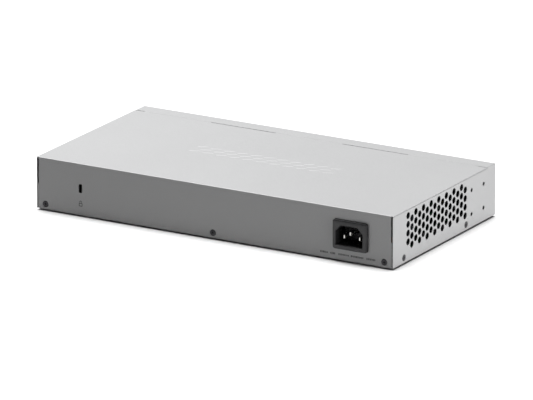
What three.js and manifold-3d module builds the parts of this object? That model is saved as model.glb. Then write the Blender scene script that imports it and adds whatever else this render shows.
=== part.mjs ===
// A sixteen-port desktop network switch in a folded steel case, in millimetres.
// +Z is up, the ports face -Y and the mains inlet faces +Y. The origin is on the floor,
// under the middle of the box.
import * as THREE from "three";
import { mergeVertices } from "three/addons/utils/BufferGeometryUtils.js";
import Module from "manifold-3d";

const wasm = await Module();
wasm.setup();

// ---------------------------------------------------------------- driving dimensions

// The case, from its folded sheets.
const WIDTH = 329;
const DEPTH = 169.2; // front face to rear face
const BODY_HEIGHT = 43;
const FOOT_HEIGHT = 1.6;
const SHEET = 1; // thickness of every sheet
const SEAM = 0.3; // gap where two sheets meet
const STRIP_DEPTH = 14.2; // the strip of the top that belongs to the front frame
const SLIT_WIDTH = 1; // the open part of the seam behind that strip
const TONGUE_SEAM = 0.3; // the closed part, where a tongue of the cover dips under the strip
const TONGUE_REACH = 8;
const SLIT_LENGTH = 61;
const SLIT_X = 61.5; // centre of each long slit
const CORNER_SLIT_LENGTH = 9;
const REAR_GAP = 0.25; // rear wall to side wall, lower half
const REAR_SLIT = 0.9; // the same gap in the upper half
const REAR_SLIT_HEIGHT = 22;
const LIP_HEIGHT = { side: 8.9, rear: 7.9, front: 4.9 }; // upturned edges of the bottom pan

// Screws that hold the sheets together.
const SCREW_HEAD_R = 2.8;
const SCREW_SHANK_R = 1.45;
const SCREW_CONE = 1.3;
const SCREW_LENGTH = 6;
const SCREW_GAP = 0.22;
const SCREW_SINK = 0.1; // face below the sheet's
const CASE_SCREW_HEIGHT = 5.8; // above the table
const REAR_SCREW_X = [156.4, 0, -156.4];
const SIDE_SCREW_FROM_REAR = [17.9, 120.1];

// Ventilation: a hexagonal grid of round holes in each side wall.
const VENT_R = 2.8;
const VENT_PITCH = 7.22;
const VENT_COLUMNS = 16;
const VENT_ROWS = 4;
const VENT_FROM_REAR = 24.4;
const VENT_TOP = 39;
const VENT_SIDES = 6;

// Four tapped holes in each side for a rack ear.
const EAR_HOLE_R = 1.65;
const EAR_SPACING = 20.1;
const EAR_FROM_REAR = 138.95;
const EAR_HEIGHT = 22.45;

// Rear wall: lock slot and mains inlet.
const LOCK_X = 123.4;
const LOCK_HEIGHT = 23.8;
const LOCK_SIZE = [3.2, 7.4];
const INLET_X = -126.4;
const INLET_HEIGHT = 23.1;
const INLET_FLANGE = [31.6, 24.4];
const INLET_FLANGE_CHAMFER = 2;
const INLET_PROUD = 2.5;
const INLET_BODY = [27, 20];
const INLET_BODY_DEPTH = 17;
const INLET_CAVITY = [24, 16];
const INLET_CAVITY_DEPTH = 16.5;
const INLET_CAVITY_DROP = 0.4; // the cavity sits this far below the flange's middle
const INLET_CHAMFER = 5;
const PIN = [2, 4];
const PIN_GAP = 0.15;
const PIN_SPACING = 14;
const PIN_OFFSET = 2; // the live pins below the middle, the earth pin above it
const LIVE_PIN_RECESS = 4.2; // tip below the flange's face
const EARTH_PIN_RECESS = 1.4;
const PIN_TAB = 5; // solder tab behind the housing

// Ports: two stacked blocks of two by four sockets.
const PORT_PITCH = 13.97;
const PORT_COLUMNS = 4;
const PORT_BLOCK = [56.6, 25.5, 26]; // width, depth, height
const PORT_BLOCK_X = [26.7, 93.3];
const PORT_ROW_OFFSET = 6.4;
const PORT_SHIELD = 0.4;
const PORT_SHIELD_LAP = 0.15; // its windows are this much larger than the sockets
const PORT_WINDOW_GAP = 0.4;
const PORT_DEPTH = 14;
const PORT_HALF_WIDTH = 5.85;
const PORT_FLOOR = 4.7; // contacts' side of the socket, from the row's middle
const PORT_ROOF = 2.2;
const LATCH_STEPS = [[3.1, 3.9], [1.7, 5]]; // half width, height of the latch notch

// Boards, carried on bosses pressed into the pan.
const BOSS_HEIGHT = 4.9;
const BOSS_R = 3.2;
const BOSS_BORE_R = 1.7;
const BOARD = 1.6;
const BOARD_GAP = 0.1;
const MAIN_BOARD = { x: [-150, 138], y: [3, 90] }; // y counts back from the front face
const MAIN_BOSSES = [[-142, 40], [-142, 84], [62, 84], [130, 84]];
const PSU_BOARD = { x: [-158, -34], y: [96, 163] };
const PSU_BOSSES = [[-153, 101], [-39, 101], [-153, 158], [-39, 158]];
const EARTH_BOSS = [-100, 138];
const BOARD_SCREW_HEAD = [2.7, 1.9]; // radius, height
const BOARD_SCREW_LENGTH = 5.5;

// Parts on the boards: the middle, then the size in X, Y and Z.
const CHIP = { place: [60, 58], size: [25, 25, 1.8] };
const CHIP_HEAT_SINK = { size: [38, 34, 18], base: 3, fins: 10 };
const MAGNETICS = { places: [[12, 38], [12, 58], [108, 38], [108, 58]], size: [30, 15, 6] };
const TRANSFORMER = { place: [-72, 128], size: [32, 28, 24] };
const CAPACITORS = { places: [[-146, 120], [-124, 120]], radius: 9, height: 30 };
const CHOKE = { place: [-146, 143], ring: 7, section: 3.6 };
const POWER_HEAT_SINK = { place: [-86, 107], size: [46, 12, 26], base: 3, fins: 6 };
const FIN = 1;

// Front controls.
const LIGHT_X = { power_light_pipe: -140, poe_light_pipe: -127 };
const LIGHT_R = 1.5;
const LIGHT_HEIGHT = 22.3;
const BUTTON_X = -108;
const BUTTON_R = 1.6;
const BUTTON_HEIGHT = 14.5;
const BUTTON_LENGTH = 5.4;
const BUTTON_GAP = 0.4;
const SWITCH_BODY = { half: 3.5, setback: 4.6, depth: 6, above: 3 };
const LIGHT_PIPE = { length: 7, leg: 2.4 };

// Fan behind the wall at +X, its axis along X.
const FAN_SIZE = 40;
const FAN_THICK = 20;
const FAN_BORE_R = 19;
const FAN_CENTRE = { x: 151.5, fromRear: 50.3, z: 23 };
const FAN_HUB_R = 10;
const FAN_BLADES = 7;
const FAN_BLADE_R = 18.2;
const FAN_SCREW_SPACING = 32;
const FAN_HUB_THICK = 3.4; // the frame's own hub, which carries the motor
const FAN_STRUT = 2.4;
const FAN_ROTOR = { from: 4.4, length: 14.6 };
const FAN_BLADE = { chord: 13, thick: 1.1, pitchDegrees: 35 };

// Feet and wires.
const FOOT_R = 6.5;
const FOOT_INSET = 20;
const FOOT_GAP = 0.06;
const WIRE_R = 1.1;
const HARNESS_R = 2.2;
const WIRE_GAP = 0.3; // wire's end to what it is soldered to

// ---------------------------------------------------------------- places worked out from them

const SIDE = WIDTH / 2;
const FRONT = -(DEPTH + INLET_PROUD) / 2;
const REAR = FRONT + DEPTH;
const BASE = FOOT_HEIGHT;
const TOP = FOOT_HEIGHT + BODY_HEIGHT;
const PAN_TOP = BASE + SHEET;
const BOARD_Z = PAN_TOP + BOSS_HEIGHT + BOARD_GAP;
const BOARD_TOP = BOARD_Z + BOARD;
const ON_BOARD = BOARD_TOP + BOARD_GAP;
const STRIP_BACK = FRONT + STRIP_DEPTH;
const FAN_Y = REAR - FAN_CENTRE.fromRear;
const fanScrewPlaces = [-1, 1].flatMap((j) =>
  [-1, 1].map((k) => [FAN_Y + (j * FAN_SCREW_SPACING) / 2, FAN_CENTRE.z + (k * FAN_SCREW_SPACING) / 2]),
);

// ---------------------------------------------------------------- solids

// A closed geometry as a manifold-3d solid.
function solid(geometry) {
  const bare = geometry.clone();
  bare.deleteAttribute("normal");
  bare.deleteAttribute("uv");
  const merged = mergeVertices(bare, 1e-4);
  return new wasm.Manifold(
    new wasm.Mesh({
      numProp: 3,
      vertProperties: merged.attributes.position.array,
      triVerts: new Uint32Array(merged.index.array),
    }),
  );
}

// A manifold-3d solid as a geometry.
function geometryOf(made) {
  const mesh = made.getMesh();
  const geometry = new THREE.BufferGeometry();
  geometry.setAttribute("position", new THREE.BufferAttribute(new Float32Array(mesh.vertProperties), 3));
  geometry.setIndex(new THREE.BufferAttribute(new Uint32Array(mesh.triVerts), 1));
  const flat = geometry.toNonIndexed();
  flat.computeVertexNormals();
  return flat;
}

const join = (...geometries) => geometryOf(geometries.map(solid).reduce((a, b) => a.add(b)));
const cut = (base, tools) => geometryOf(tools.map(solid).reduce((a, b) => a.subtract(b), solid(base)));

// A box from its lowest to its highest place on each axis.
function block([x0, x1], [y0, y1], [z0, z1]) {
  const geometry = new THREE.BoxGeometry(x1 - x0, y1 - y0, z1 - z0);
  return geometry.translate((x0 + x1) / 2, (y0 + y1) / 2, (z0 + z1) / 2);
}

// Turns a geometry's +Y to point along an axis, and moves its origin to a place.
function aim(geometry, axis, place) {
  const up = new THREE.Vector3(0, 1, 0);
  const turn = new THREE.Quaternion().setFromUnitVectors(up, new THREE.Vector3(...axis));
  return geometry.applyQuaternion(turn).translate(...place);
}

// A round bar from a place, along an axis.
function rod(radius, length, axis, place, sides = 12) {
  const geometry = new THREE.CylinderGeometry(radius, radius, length, sides);
  return aim(geometry.translate(0, length / 2, 0), axis, place);
}

// A turned solid: a profile of [radius, height] points spun about +Y, which then points along an axis.
function turned(profile, axis, place, sides = 12) {
  const points = profile.map(([r, h]) => new THREE.Vector2(r, h));
  return aim(new THREE.LatheGeometry(points, sides), axis, place);
}

// An outline in X and Z, with its depth running back (+Y) from a place.
function slab(outline, depth, [x, y, z]) {
  const shape = new THREE.Shape(outline.map(([u, w]) => new THREE.Vector2(u, w)));
  const geometry = new THREE.ExtrudeGeometry(shape, { depth, bevelEnabled: false });
  return geometry.rotateX(Math.PI / 2).translate(x, y + depth, z);
}

// A round wire through a list of points.
function wire(points, radius, steps = 14, sides = 6) {
  const path = new THREE.CatmullRomCurve3(points.map((p) => new THREE.Vector3(...p)));
  const section = new THREE.Shape();
  for (let i = 0; i < sides; i++) {
    const a = (2 * Math.PI * i) / sides;
    section[i ? "lineTo" : "moveTo"](radius * Math.cos(a), radius * Math.sin(a));
  }
  return new THREE.ExtrudeGeometry(section, { steps, bevelEnabled: false, extrudePath: path });
}

// ---------------------------------------------------------------- materials and the assembly

function finish(color, roughness, metalness) {
  return new THREE.MeshStandardMaterial({ color, roughness, metalness });
}

const paint = finish(0xc4c5c6, 0.42, 0.3);
const darkScrew = finish(0x3a3a3c, 0.4, 0.8);
const steel = finish(0xb9bcc0, 0.3, 0.9);
const brass = finish(0xd8b56a, 0.3, 0.9);
const blackPlastic = finish(0x1b1b1d, 0.5, 0);
const rubber = finish(0x161616, 0.9, 0);
const boardGreen = finish(0x14532d, 0.5, 0);
const aluminium = finish(0x9aa0a6, 0.35, 0.9);
const clearPlastic = finish(0xe6ece8, 0.2, 0);
const capacitorSleeve = finish(0x1d2733, 0.4, 0);
const whitePlastic = finish(0xe8e6df, 0.5, 0);
const redWire = finish(0x8a4a2a, 0.5, 0);
const blueWire = finish(0x2d4f86, 0.5, 0);
const greenWire = finish(0x3c8a4a, 0.5, 0);

const networkSwitch = new THREE.Group();

function add(name, geometry, material) {
  const mesh = new THREE.Mesh(geometry, material);
  mesh.name = name;
  networkSwitch.add(mesh);
}

// ---------------------------------------------------------------- case screws

// Countersunk screw whose face is just under the sheet's outer face. `out` points out of the case.
function caseScrew(name, place, out) {
  const profile = [
    [0, -SCREW_SINK],
    [SCREW_HEAD_R, -SCREW_SINK],
    [SCREW_SHANK_R, -SCREW_SINK - SCREW_CONE],
    [SCREW_SHANK_R, -SCREW_LENGTH],
    [0, -SCREW_LENGTH],
  ];
  add(name, turned(profile.reverse(), out, place), darkScrew);
}

// The tool that dimples a sheet for that screw.
function countersink(place, out) {
  const head = SCREW_HEAD_R + SCREW_GAP;
  const shank = SCREW_SHANK_R + SCREW_GAP;
  const profile = [
    [0, -SCREW_LENGTH],
    [shank, -SCREW_LENGTH],
    [shank, -SCREW_SINK - SCREW_CONE],
    [head, -SCREW_SINK],
    [head, 1],
    [0, 1],
  ];
  return turned(profile, out, place);
}

const rearScrews = REAR_SCREW_X.map((x) => ({ place: [x, REAR, CASE_SCREW_HEIGHT], out: [0, 1, 0] }));
const sideScrews = [-1, 1].flatMap((side) =>
  SIDE_SCREW_FROM_REAR.map((v) => ({
    place: [side * SIDE, REAR - v, CASE_SCREW_HEIGHT],
    out: [side, 0, 0],
  })),
);
const fanScrews = fanScrewPlaces.map(([y, z]) => ({ place: [SIDE, y, z], out: [1, 0, 0] }));
rearScrews.forEach((s, i) => caseScrew(`cover_screw_${i + 1}`, s.place, s.out));
sideScrews.forEach((s, i) => caseScrew(`side_screw_${i + 1}`, s.place, s.out));
fanScrews.forEach((s, i) => caseScrew(`fan_screw_${i + 1}`, s.place, s.out));
const countersinks = (screws) => screws.map((s) => countersink(s.place, s.out));

// ---------------------------------------------------------------- sheet metal

// Centres of one side wall's vents. On the fan's side the grid leaves room for the fan's screws.
function ventPlaces(side) {
  const places = [];
  for (let column = 0; column < VENT_COLUMNS; column++) {
    for (let row = 0; row < VENT_ROWS; row++) {
      const y = REAR - VENT_FROM_REAR - column * VENT_PITCH * Math.cos(Math.PI / 6);
      const z = VENT_TOP - (row + (column % 2) / 2) * VENT_PITCH;
      const nearest = Math.min(...fanScrewPlaces.map(([fy, fz]) => Math.hypot(y - fy, z - fz)));
      if (side < 0 || nearest > SCREW_HEAD_R + VENT_R + 0.5) places.push([y, z]);
    }
  }
  return places;
}

function sideHoles(side) {
  const from = side * (SIDE - 2 * SHEET);
  const vents = ventPlaces(side).map(([y, z]) =>
    rod(VENT_R, 4 * SHEET, [side, 0, 0], [from, y, z], VENT_SIDES),
  );
  const ears = [-1, 1].flatMap((j) =>
    [-1, 1].map((k) => {
      const y = REAR - EAR_FROM_REAR + (j * EAR_SPACING) / 2;
      const z = EAR_HEIGHT + (k * EAR_SPACING) / 2;
      return rod(EAR_HOLE_R, 4 * SHEET, [side, 0, 0], [from, y, z], VENT_SIDES);
    }),
  );
  return [...vents, ...ears];
}

// The outline of one socket, latch notch upwards, or downwards when flip is -1.
function portOutline(flip, grow = 0) {
  const half = PORT_HALF_WIDTH + grow;
  const [[w1, h1], [w2, h2]] = LATCH_STEPS.map(([w, h]) => [w + grow, h + grow]);
  const roof = PORT_ROOF + grow;
  const floor = -PORT_FLOOR - grow;
  const right = [[half, floor], [half, roof], [w1, roof], [w1, h1], [w2, h1], [w2, h2]];
  const left = right.map(([x, z]) => [-x, z]).reverse();
  const outline = [...right, ...left].map(([x, z]) => [x, flip * z]);
  return flip > 0 ? outline : outline.reverse();
}

// Places of a block's eight sockets: [x, z, flip].
function portPlaces(blockX) {
  const middle = ON_BOARD + PORT_BLOCK[2] / 2;
  return [1, -1].flatMap((flip) =>
    Array.from({ length: PORT_COLUMNS }, (_, i) => [
      blockX + (i - (PORT_COLUMNS - 1) / 2) * PORT_PITCH,
      middle + flip * PORT_ROW_OFFSET,
      flip,
    ]),
  );
}

// Front panel, both side walls and the strip of the top, folded from one sheet.
function frontFrame() {
  const wallTop = TOP - SHEET - SEAM;
  const wall = (side) => [side * SIDE, side * (SIDE - SHEET)].sort((a, b) => a - b);
  const body = join(
    block([-SIDE, SIDE], [FRONT, FRONT + SHEET], [BASE, TOP]),
    block([-SIDE, SIDE], [FRONT, STRIP_BACK], [TOP - SHEET, TOP]),
    ...[-1, 1].map((side) => block(wall(side), [FRONT, REAR], [BASE, wallTop])),
    ...[-1, 1].map((side) => block(wall(side), [FRONT, STRIP_BACK], [BASE, TOP])),
  );
  const through = [FRONT - SHEET, FRONT + 2 * SHEET];
  const clear = PORT_WINDOW_GAP;
  const windows = PORT_BLOCK_X.map((x) =>
    block(
      [x - PORT_BLOCK[0] / 2 - clear, x + PORT_BLOCK[0] / 2 + clear],
      through,
      [ON_BOARD - clear, ON_BOARD + PORT_BLOCK[2] + clear],
    ),
  );
  const panelHole = (r, x, z) => rod(r, 3 * SHEET, [0, 1, 0], [x, FRONT - SHEET, z]);
  const lights = Object.values(LIGHT_X).map((x) => panelHole(LIGHT_R + 0.2, x, LIGHT_HEIGHT));
  const button = panelHole(BUTTON_R + BUTTON_GAP, BUTTON_X, BUTTON_HEIGHT);
  const screws = countersinks([...sideScrews, ...fanScrews]);
  return cut(body, [...windows, ...lights, button, ...screws, ...sideHoles(-1), ...sideHoles(1)]);
}

// Top and rear wall in one sheet. Three tongues at its front dip under the frame's strip.
function topCover() {
  const seamY = STRIP_BACK + SLIT_WIDTH;
  const tongueY = STRIP_BACK + TONGUE_SEAM;
  const leafZ = [TOP - 2 * SHEET - SEAM, TOP - SHEET - SEAM];
  const edges = [
    [-SIDE + CORNER_SLIT_LENGTH, -SLIT_X - SLIT_LENGTH / 2],
    [-SLIT_X + SLIT_LENGTH / 2, SLIT_X - SLIT_LENGTH / 2],
    [SLIT_X + SLIT_LENGTH / 2, SIDE - CORNER_SLIT_LENGTH],
  ];
  const tongues = edges.flatMap((x) => [
    block(x, [tongueY, seamY + SHEET], [leafZ[0], TOP]),
    block(x, [STRIP_BACK - TONGUE_REACH, seamY], leafZ),
  ]);
  const slitBottom = TOP - REAR_SLIT_HEIGHT;
  const lower = SIDE - SHEET - REAR_GAP;
  const upper = SIDE - SHEET - REAR_SLIT;
  const body = join(
    block([-SIDE, SIDE], [seamY, REAR], [TOP - SHEET, TOP]),
    block([-lower, lower], [REAR - SHEET, REAR], [BASE, slitBottom]),
    block([-upper, upper], [REAR - SHEET, REAR], [BASE, TOP]),
    ...tongues,
  );
  const rearHole = (x, z, [w, h]) =>
    block([x - w / 2, x + w / 2], [REAR - 2 * SHEET, REAR + SHEET], [z - h / 2, z + h / 2]);
  return cut(body, [
    rearHole(LOCK_X, LOCK_HEIGHT, LOCK_SIZE),
    rearHole(INLET_X, INLET_HEIGHT, INLET_BODY.map((size) => size + 0.5)),
    ...countersinks(rearScrews),
  ]);
}

// Tray with upturned lips inside the other two sheets, and bosses for the boards.
function bottomPan() {
  const inset = SHEET + SEAM;
  const x = SIDE - inset;
  const [front, rear] = [FRONT + inset, REAR - inset];
  const places = [...MAIN_BOSSES, ...PSU_BOSSES, EARTH_BOSS].map(([bx, back]) => [bx, FRONT + back]);
  const body = join(
    block([-x, x], [front, rear], [BASE, PAN_TOP]),
    block([-x, -x + SHEET], [front, rear], [BASE, BASE + LIP_HEIGHT.side]),
    block([x - SHEET, x], [front, rear], [BASE, BASE + LIP_HEIGHT.side]),
    block([-x, x], [rear - SHEET, rear], [BASE, BASE + LIP_HEIGHT.rear]),
    block([-x, x], [front, front + SHEET], [BASE, BASE + LIP_HEIGHT.front]),
    ...places.map(([bx, by]) => rod(BOSS_R, SHEET + BOSS_HEIGHT, [0, 0, 1], [bx, by, BASE])),
  );
  const bores = places.map(([bx, by]) => rod(BOSS_BORE_R, BOSS_HEIGHT + 1, [0, 0, 1], [bx, by, PAN_TOP]));
  const screwHoles = [...rearScrews, ...sideScrews, ...fanScrews].map(({ place, out }) => {
    const inward = out.map((c) => -c);
    return rod(SCREW_SHANK_R + SCREW_GAP, 2 * SCREW_LENGTH, inward, place);
  });
  return cut(body, [...bores, ...screwHoles]);
}

add("front_frame", frontFrame(), paint);
add("top_cover", topCover(), paint);
add("bottom_pan", bottomPan(), paint);

// ---------------------------------------------------------------- feet

[[-1, -1], [1, -1], [-1, 1], [1, 1]].forEach(([i, j], n) => {
  const x = i * (SIDE - FOOT_INSET);
  const y = j < 0 ? FRONT + FOOT_INSET : REAR - FOOT_INSET;
  const top = FOOT_HEIGHT - FOOT_GAP;
  const profile = [[0, 0], [FOOT_R - 0.5, 0], [FOOT_R, top], [0, top]];
  add(`foot_${n + 1}`, turned(profile, [0, 0, 1], [x, y, 0], 16), rubber);
});

// ---------------------------------------------------------------- mains inlet

const FACE = REAR + INLET_PROUD; // outer face of the flange
const CAVITY_Z = INLET_HEIGHT - INLET_CAVITY_DROP;
const CAVITY_FLOOR = FACE - INLET_CAVITY_DEPTH;

// A rectangle about its middle, its upper corners cut off.
function chamfered([w, h], chamfer) {
  return [[-w / 2, -h / 2], [w / 2, -h / 2], [w / 2, h / 2 - chamfer], [w / 2 - chamfer, h / 2],
    [-w / 2 + chamfer, h / 2], [-w / 2, h / 2 - chamfer]];
}

const inletPins = {
  inlet_pin_line: { x: INLET_X + PIN_SPACING / 2, z: CAVITY_Z - PIN_OFFSET, recess: LIVE_PIN_RECESS },
  inlet_pin_neutral: { x: INLET_X - PIN_SPACING / 2, z: CAVITY_Z - PIN_OFFSET, recess: LIVE_PIN_RECESS },
  inlet_pin_earth: { x: INLET_X, z: CAVITY_Z + PIN_OFFSET, recess: EARTH_PIN_RECESS },
};
const PIN_BACK = REAR - INLET_BODY_DEPTH - PIN_TAB;
const pinBlock = ({ x, z, recess }, grow) =>
  block(
    [x - PIN[0] / 2 - grow, x + PIN[0] / 2 + grow],
    [PIN_BACK, FACE - recess],
    [z - PIN[1] / 2 - grow, z + PIN[1] / 2 + grow],
  );

function inletHousing() {
  const gap = 0.1; // flange to rear wall
  const outline = chamfered(INLET_FLANGE, INLET_FLANGE_CHAMFER);
  const flange = slab(outline, INLET_PROUD - gap, [INLET_X, REAR + gap, INLET_HEIGHT]);
  const [w, h] = INLET_BODY;
  const body = block(
    [INLET_X - w / 2, INLET_X + w / 2],
    [REAR - INLET_BODY_DEPTH, FACE - 1],
    [INLET_HEIGHT - h / 2, INLET_HEIGHT + h / 2],
  );
  const mouth = chamfered(INLET_CAVITY, INLET_CHAMFER);
  const cavity = slab(mouth, INLET_CAVITY_DEPTH + 1, [INLET_X, CAVITY_FLOOR, CAVITY_Z]);
  const slots = Object.values(inletPins).map((pin) => pinBlock(pin, PIN_GAP));
  return cut(join(flange, body), [cavity, ...slots]);
}

add("inlet_housing", inletHousing(), blackPlastic);
Object.entries(inletPins).forEach(([name, pin]) => add(name, pinBlock(pin, 0), steel));

// ---------------------------------------------------------------- boards and what holds them

function board({ x, y }, bosses) {
  const plate = block(x, [FRONT + y[0], FRONT + y[1]], [BOARD_Z, BOARD_TOP]);
  const low = BOARD_Z - BOARD;
  const holes = bosses.map(([bx, back]) => rod(BOSS_BORE_R, 3 * BOARD, [0, 0, 1], [bx, FRONT + back, low]));
  return cut(plate, holes);
}

// Pan-head screw that clamps a board to its boss.
function bossScrew(name, [x, back]) {
  const [headR, headHeight] = BOARD_SCREW_HEAD;
  const profile = [
    [0, -BOARD_SCREW_LENGTH],
    [SCREW_SHANK_R, -BOARD_SCREW_LENGTH],
    [SCREW_SHANK_R, 0],
    [headR, 0],
    [headR, headHeight],
    [0, headHeight],
  ];
  add(name, turned(profile, [0, 0, 1], [x, FRONT + back, ON_BOARD]), steel);
}

add("main_board", board(MAIN_BOARD, MAIN_BOSSES), boardGreen);
add("psu_board", board(PSU_BOARD, PSU_BOSSES), boardGreen);
MAIN_BOSSES.forEach((place, i) => bossScrew(`board_screw_${i + 1}`, place));
PSU_BOSSES.forEach((place, i) => bossScrew(`psu_screw_${i + 1}`, place));

// ---------------------------------------------------------------- port blocks

function portShield(x) {
  const [w, d, h] = PORT_BLOCK;
  const shell = block([x - w / 2, x + w / 2], [FRONT, FRONT + d], [ON_BOARD, ON_BOARD + h]);
  const inside = block(
    [x - w / 2 + PORT_SHIELD, x + w / 2 - PORT_SHIELD],
    [FRONT + PORT_SHIELD, FRONT + d + 1],
    [ON_BOARD - 1, ON_BOARD + h - PORT_SHIELD],
  );
  const windows = portPlaces(x).map(([px, pz, flip]) => {
    return slab(portOutline(flip, PORT_SHIELD_LAP), 2, [px, FRONT - 1, pz]);
  });
  return cut(shell, [inside, ...windows]);
}

function portInsert(x) {
  const [w, d, h] = PORT_BLOCK;
  const room = PORT_SHIELD + SEAM;
  const core = block(
    [x - w / 2 + room, x + w / 2 - room],
    [FRONT + room, FRONT + d - 0.5],
    [ON_BOARD, ON_BOARD + h - room],
  );
  const sockets = portPlaces(x).map(([px, pz, flip]) => {
    return slab(portOutline(flip), PORT_DEPTH, [px, FRONT, pz]);
  });
  return cut(core, sockets);
}

PORT_BLOCK_X.forEach((x, i) => {
  const side = ["left", "right"][i];
  add(`port_shield_${side}`, portShield(x), steel);
  add(`port_insert_${side}`, portInsert(x), blackPlastic);
});

// ---------------------------------------------------------------- parts on the main board

// A block standing on a board, from its middle (y counted back from the front face) and its size.
function onBoard([x, back], [w, d, h], above = 0) {
  const y = FRONT + back;
  return block([x - w / 2, x + w / 2], [y - d / 2, y + d / 2], [ON_BOARD + above, ON_BOARD + above + h]);
}

// An extruded heat sink: a base with upright fins that run front to back.
function heatSink([x, back], { size: [w, d, h], base, fins }, above = 0) {
  const fin = (i) => {
    const fx = x - w / 2 + FIN / 2 + (i * (w - FIN)) / (fins - 1);
    return onBoard([fx, back], [FIN, d, h], above);
  };
  const root = onBoard([x, back], [w, d, base], above);
  return join(root, ...Array.from({ length: fins }, (_, i) => fin(i)));
}

add("switch_chip", onBoard(CHIP.place, CHIP.size), blackPlastic);
add("switch_heatsink", heatSink(CHIP.place, CHIP_HEAT_SINK, CHIP.size[2] + BOARD_GAP), aluminium);
MAGNETICS.places.forEach((place, i) => {
  add(`magnetics_${i + 1}`, onBoard(place, MAGNETICS.size), blackPlastic);
});

// Light pipe: a round nose in the panel on a leg that stands over a lamp on the board.
Object.entries(LIGHT_X).forEach(([name, x]) => {
  const { length, leg: w } = LIGHT_PIPE;
  const nose = rod(LIGHT_R, length, [0, 1, 0], [x, FRONT, LIGHT_HEIGHT]);
  const leg = block(
    [x - w / 2, x + w / 2],
    [FRONT + length - w, FRONT + length],
    [ON_BOARD, LIGHT_HEIGHT + w / 2],
  );
  add(name, join(nose, leg), clearPlastic);
});

// Reset button: a plunger that runs in the panel and in the switch's own bore.
const switchFront = FRONT + SWITCH_BODY.setback;
const plungerBore = rod(BUTTON_R + BUTTON_GAP, 3, [0, 1, 0], [BUTTON_X, switchFront - 1, BUTTON_HEIGHT]);
const switchBody = block(
  [BUTTON_X - SWITCH_BODY.half, BUTTON_X + SWITCH_BODY.half],
  [switchFront, switchFront + SWITCH_BODY.depth],
  [ON_BOARD, BUTTON_HEIGHT + SWITCH_BODY.above],
);
const plunger = rod(BUTTON_R, BUTTON_LENGTH, [0, 1, 0], [BUTTON_X, FRONT + 0.1, BUTTON_HEIGHT]);
add("reset_switch", cut(switchBody, [plungerBore]), blackPlastic);
add("reset_button", plunger, blackPlastic);

// ---------------------------------------------------------------- parts on the power board

add("psu_transformer", onBoard(TRANSFORMER.place, TRANSFORMER.size), capacitorSleeve);
CAPACITORS.places.forEach(([x, back], i) => {
  const can = rod(CAPACITORS.radius, CAPACITORS.height, [0, 0, 1], [x, FRONT + back, ON_BOARD], 16);
  add(`psu_capacitor_${i + 1}`, can, capacitorSleeve);
});
const [chokeX, chokeBack] = CHOKE.place;
const choke = new THREE.TorusGeometry(CHOKE.ring, CHOKE.section, 6, 14);
add("psu_choke", choke.translate(chokeX, FRONT + chokeBack, ON_BOARD + CHOKE.section), brass);
add("psu_heatsink", heatSink(POWER_HEAT_SINK.place, POWER_HEAT_SINK), aluminium);

// ---------------------------------------------------------------- fan

function fanFrame() {
  const { x, z } = FAN_CENTRE;
  const half = FAN_SIZE / 2;
  const inner = x - FAN_THICK / 2;
  const through = (r, y, height, sides) => rod(r, FAN_THICK + 2, [1, 0, 0], [inner - 1, y, height], sides);
  const box = block([inner, x + FAN_THICK / 2], [FAN_Y - half, FAN_Y + half], [z - half, z + half]);
  const screwHoles = fanScrewPlaces.map(([sy, sz]) => through(SCREW_SHANK_R + SCREW_GAP, sy, sz, 8));
  const shell = cut(box, [through(FAN_BORE_R, FAN_Y, z, 20), ...screwHoles]);
  const reach = FAN_BORE_R + 0.5;
  const struts = [0, 1, 2].map((i) => {
    const bar = new THREE.BoxGeometry(FAN_STRUT, FAN_STRUT, reach).translate(0, 0, reach / 2);
    const turn = (2 * Math.PI * (i + 0.25)) / 3;
    return bar.rotateX(turn).translate(inner + FAN_STRUT / 2 + 0.2, FAN_Y, z);
  });
  const hub = rod(FAN_HUB_R, FAN_HUB_THICK, [1, 0, 0], [inner + 0.2, FAN_Y, z], 16);
  return join(shell, hub, ...struts);
}

function fanRotor() {
  const { x, z } = FAN_CENTRE;
  const from = x - FAN_THICK / 2 + FAN_ROTOR.from;
  const hub = rod(FAN_HUB_R, FAN_ROTOR.length, [1, 0, 0], [from, FAN_Y, z], 16);
  const span = FAN_BLADE_R - FAN_HUB_R + 1; // each blade starts 1 mm inside the hub
  const blades = Array.from({ length: FAN_BLADES }, (_, i) => {
    const blade = new THREE.BoxGeometry(FAN_BLADE.chord, FAN_BLADE.thick, span);
    blade.rotateZ((FAN_BLADE.pitchDegrees * Math.PI) / 180).translate(0, 0, FAN_HUB_R - 1 + span / 2);
    return blade.rotateX((2 * Math.PI * i) / FAN_BLADES).translate(from + FAN_ROTOR.length / 2, FAN_Y, z);
  });
  return join(hub, ...blades);
}

add("fan_frame", fanFrame(), blackPlastic);
add("fan_rotor", fanRotor(), blackPlastic);

// ---------------------------------------------------------------- wiring

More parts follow.
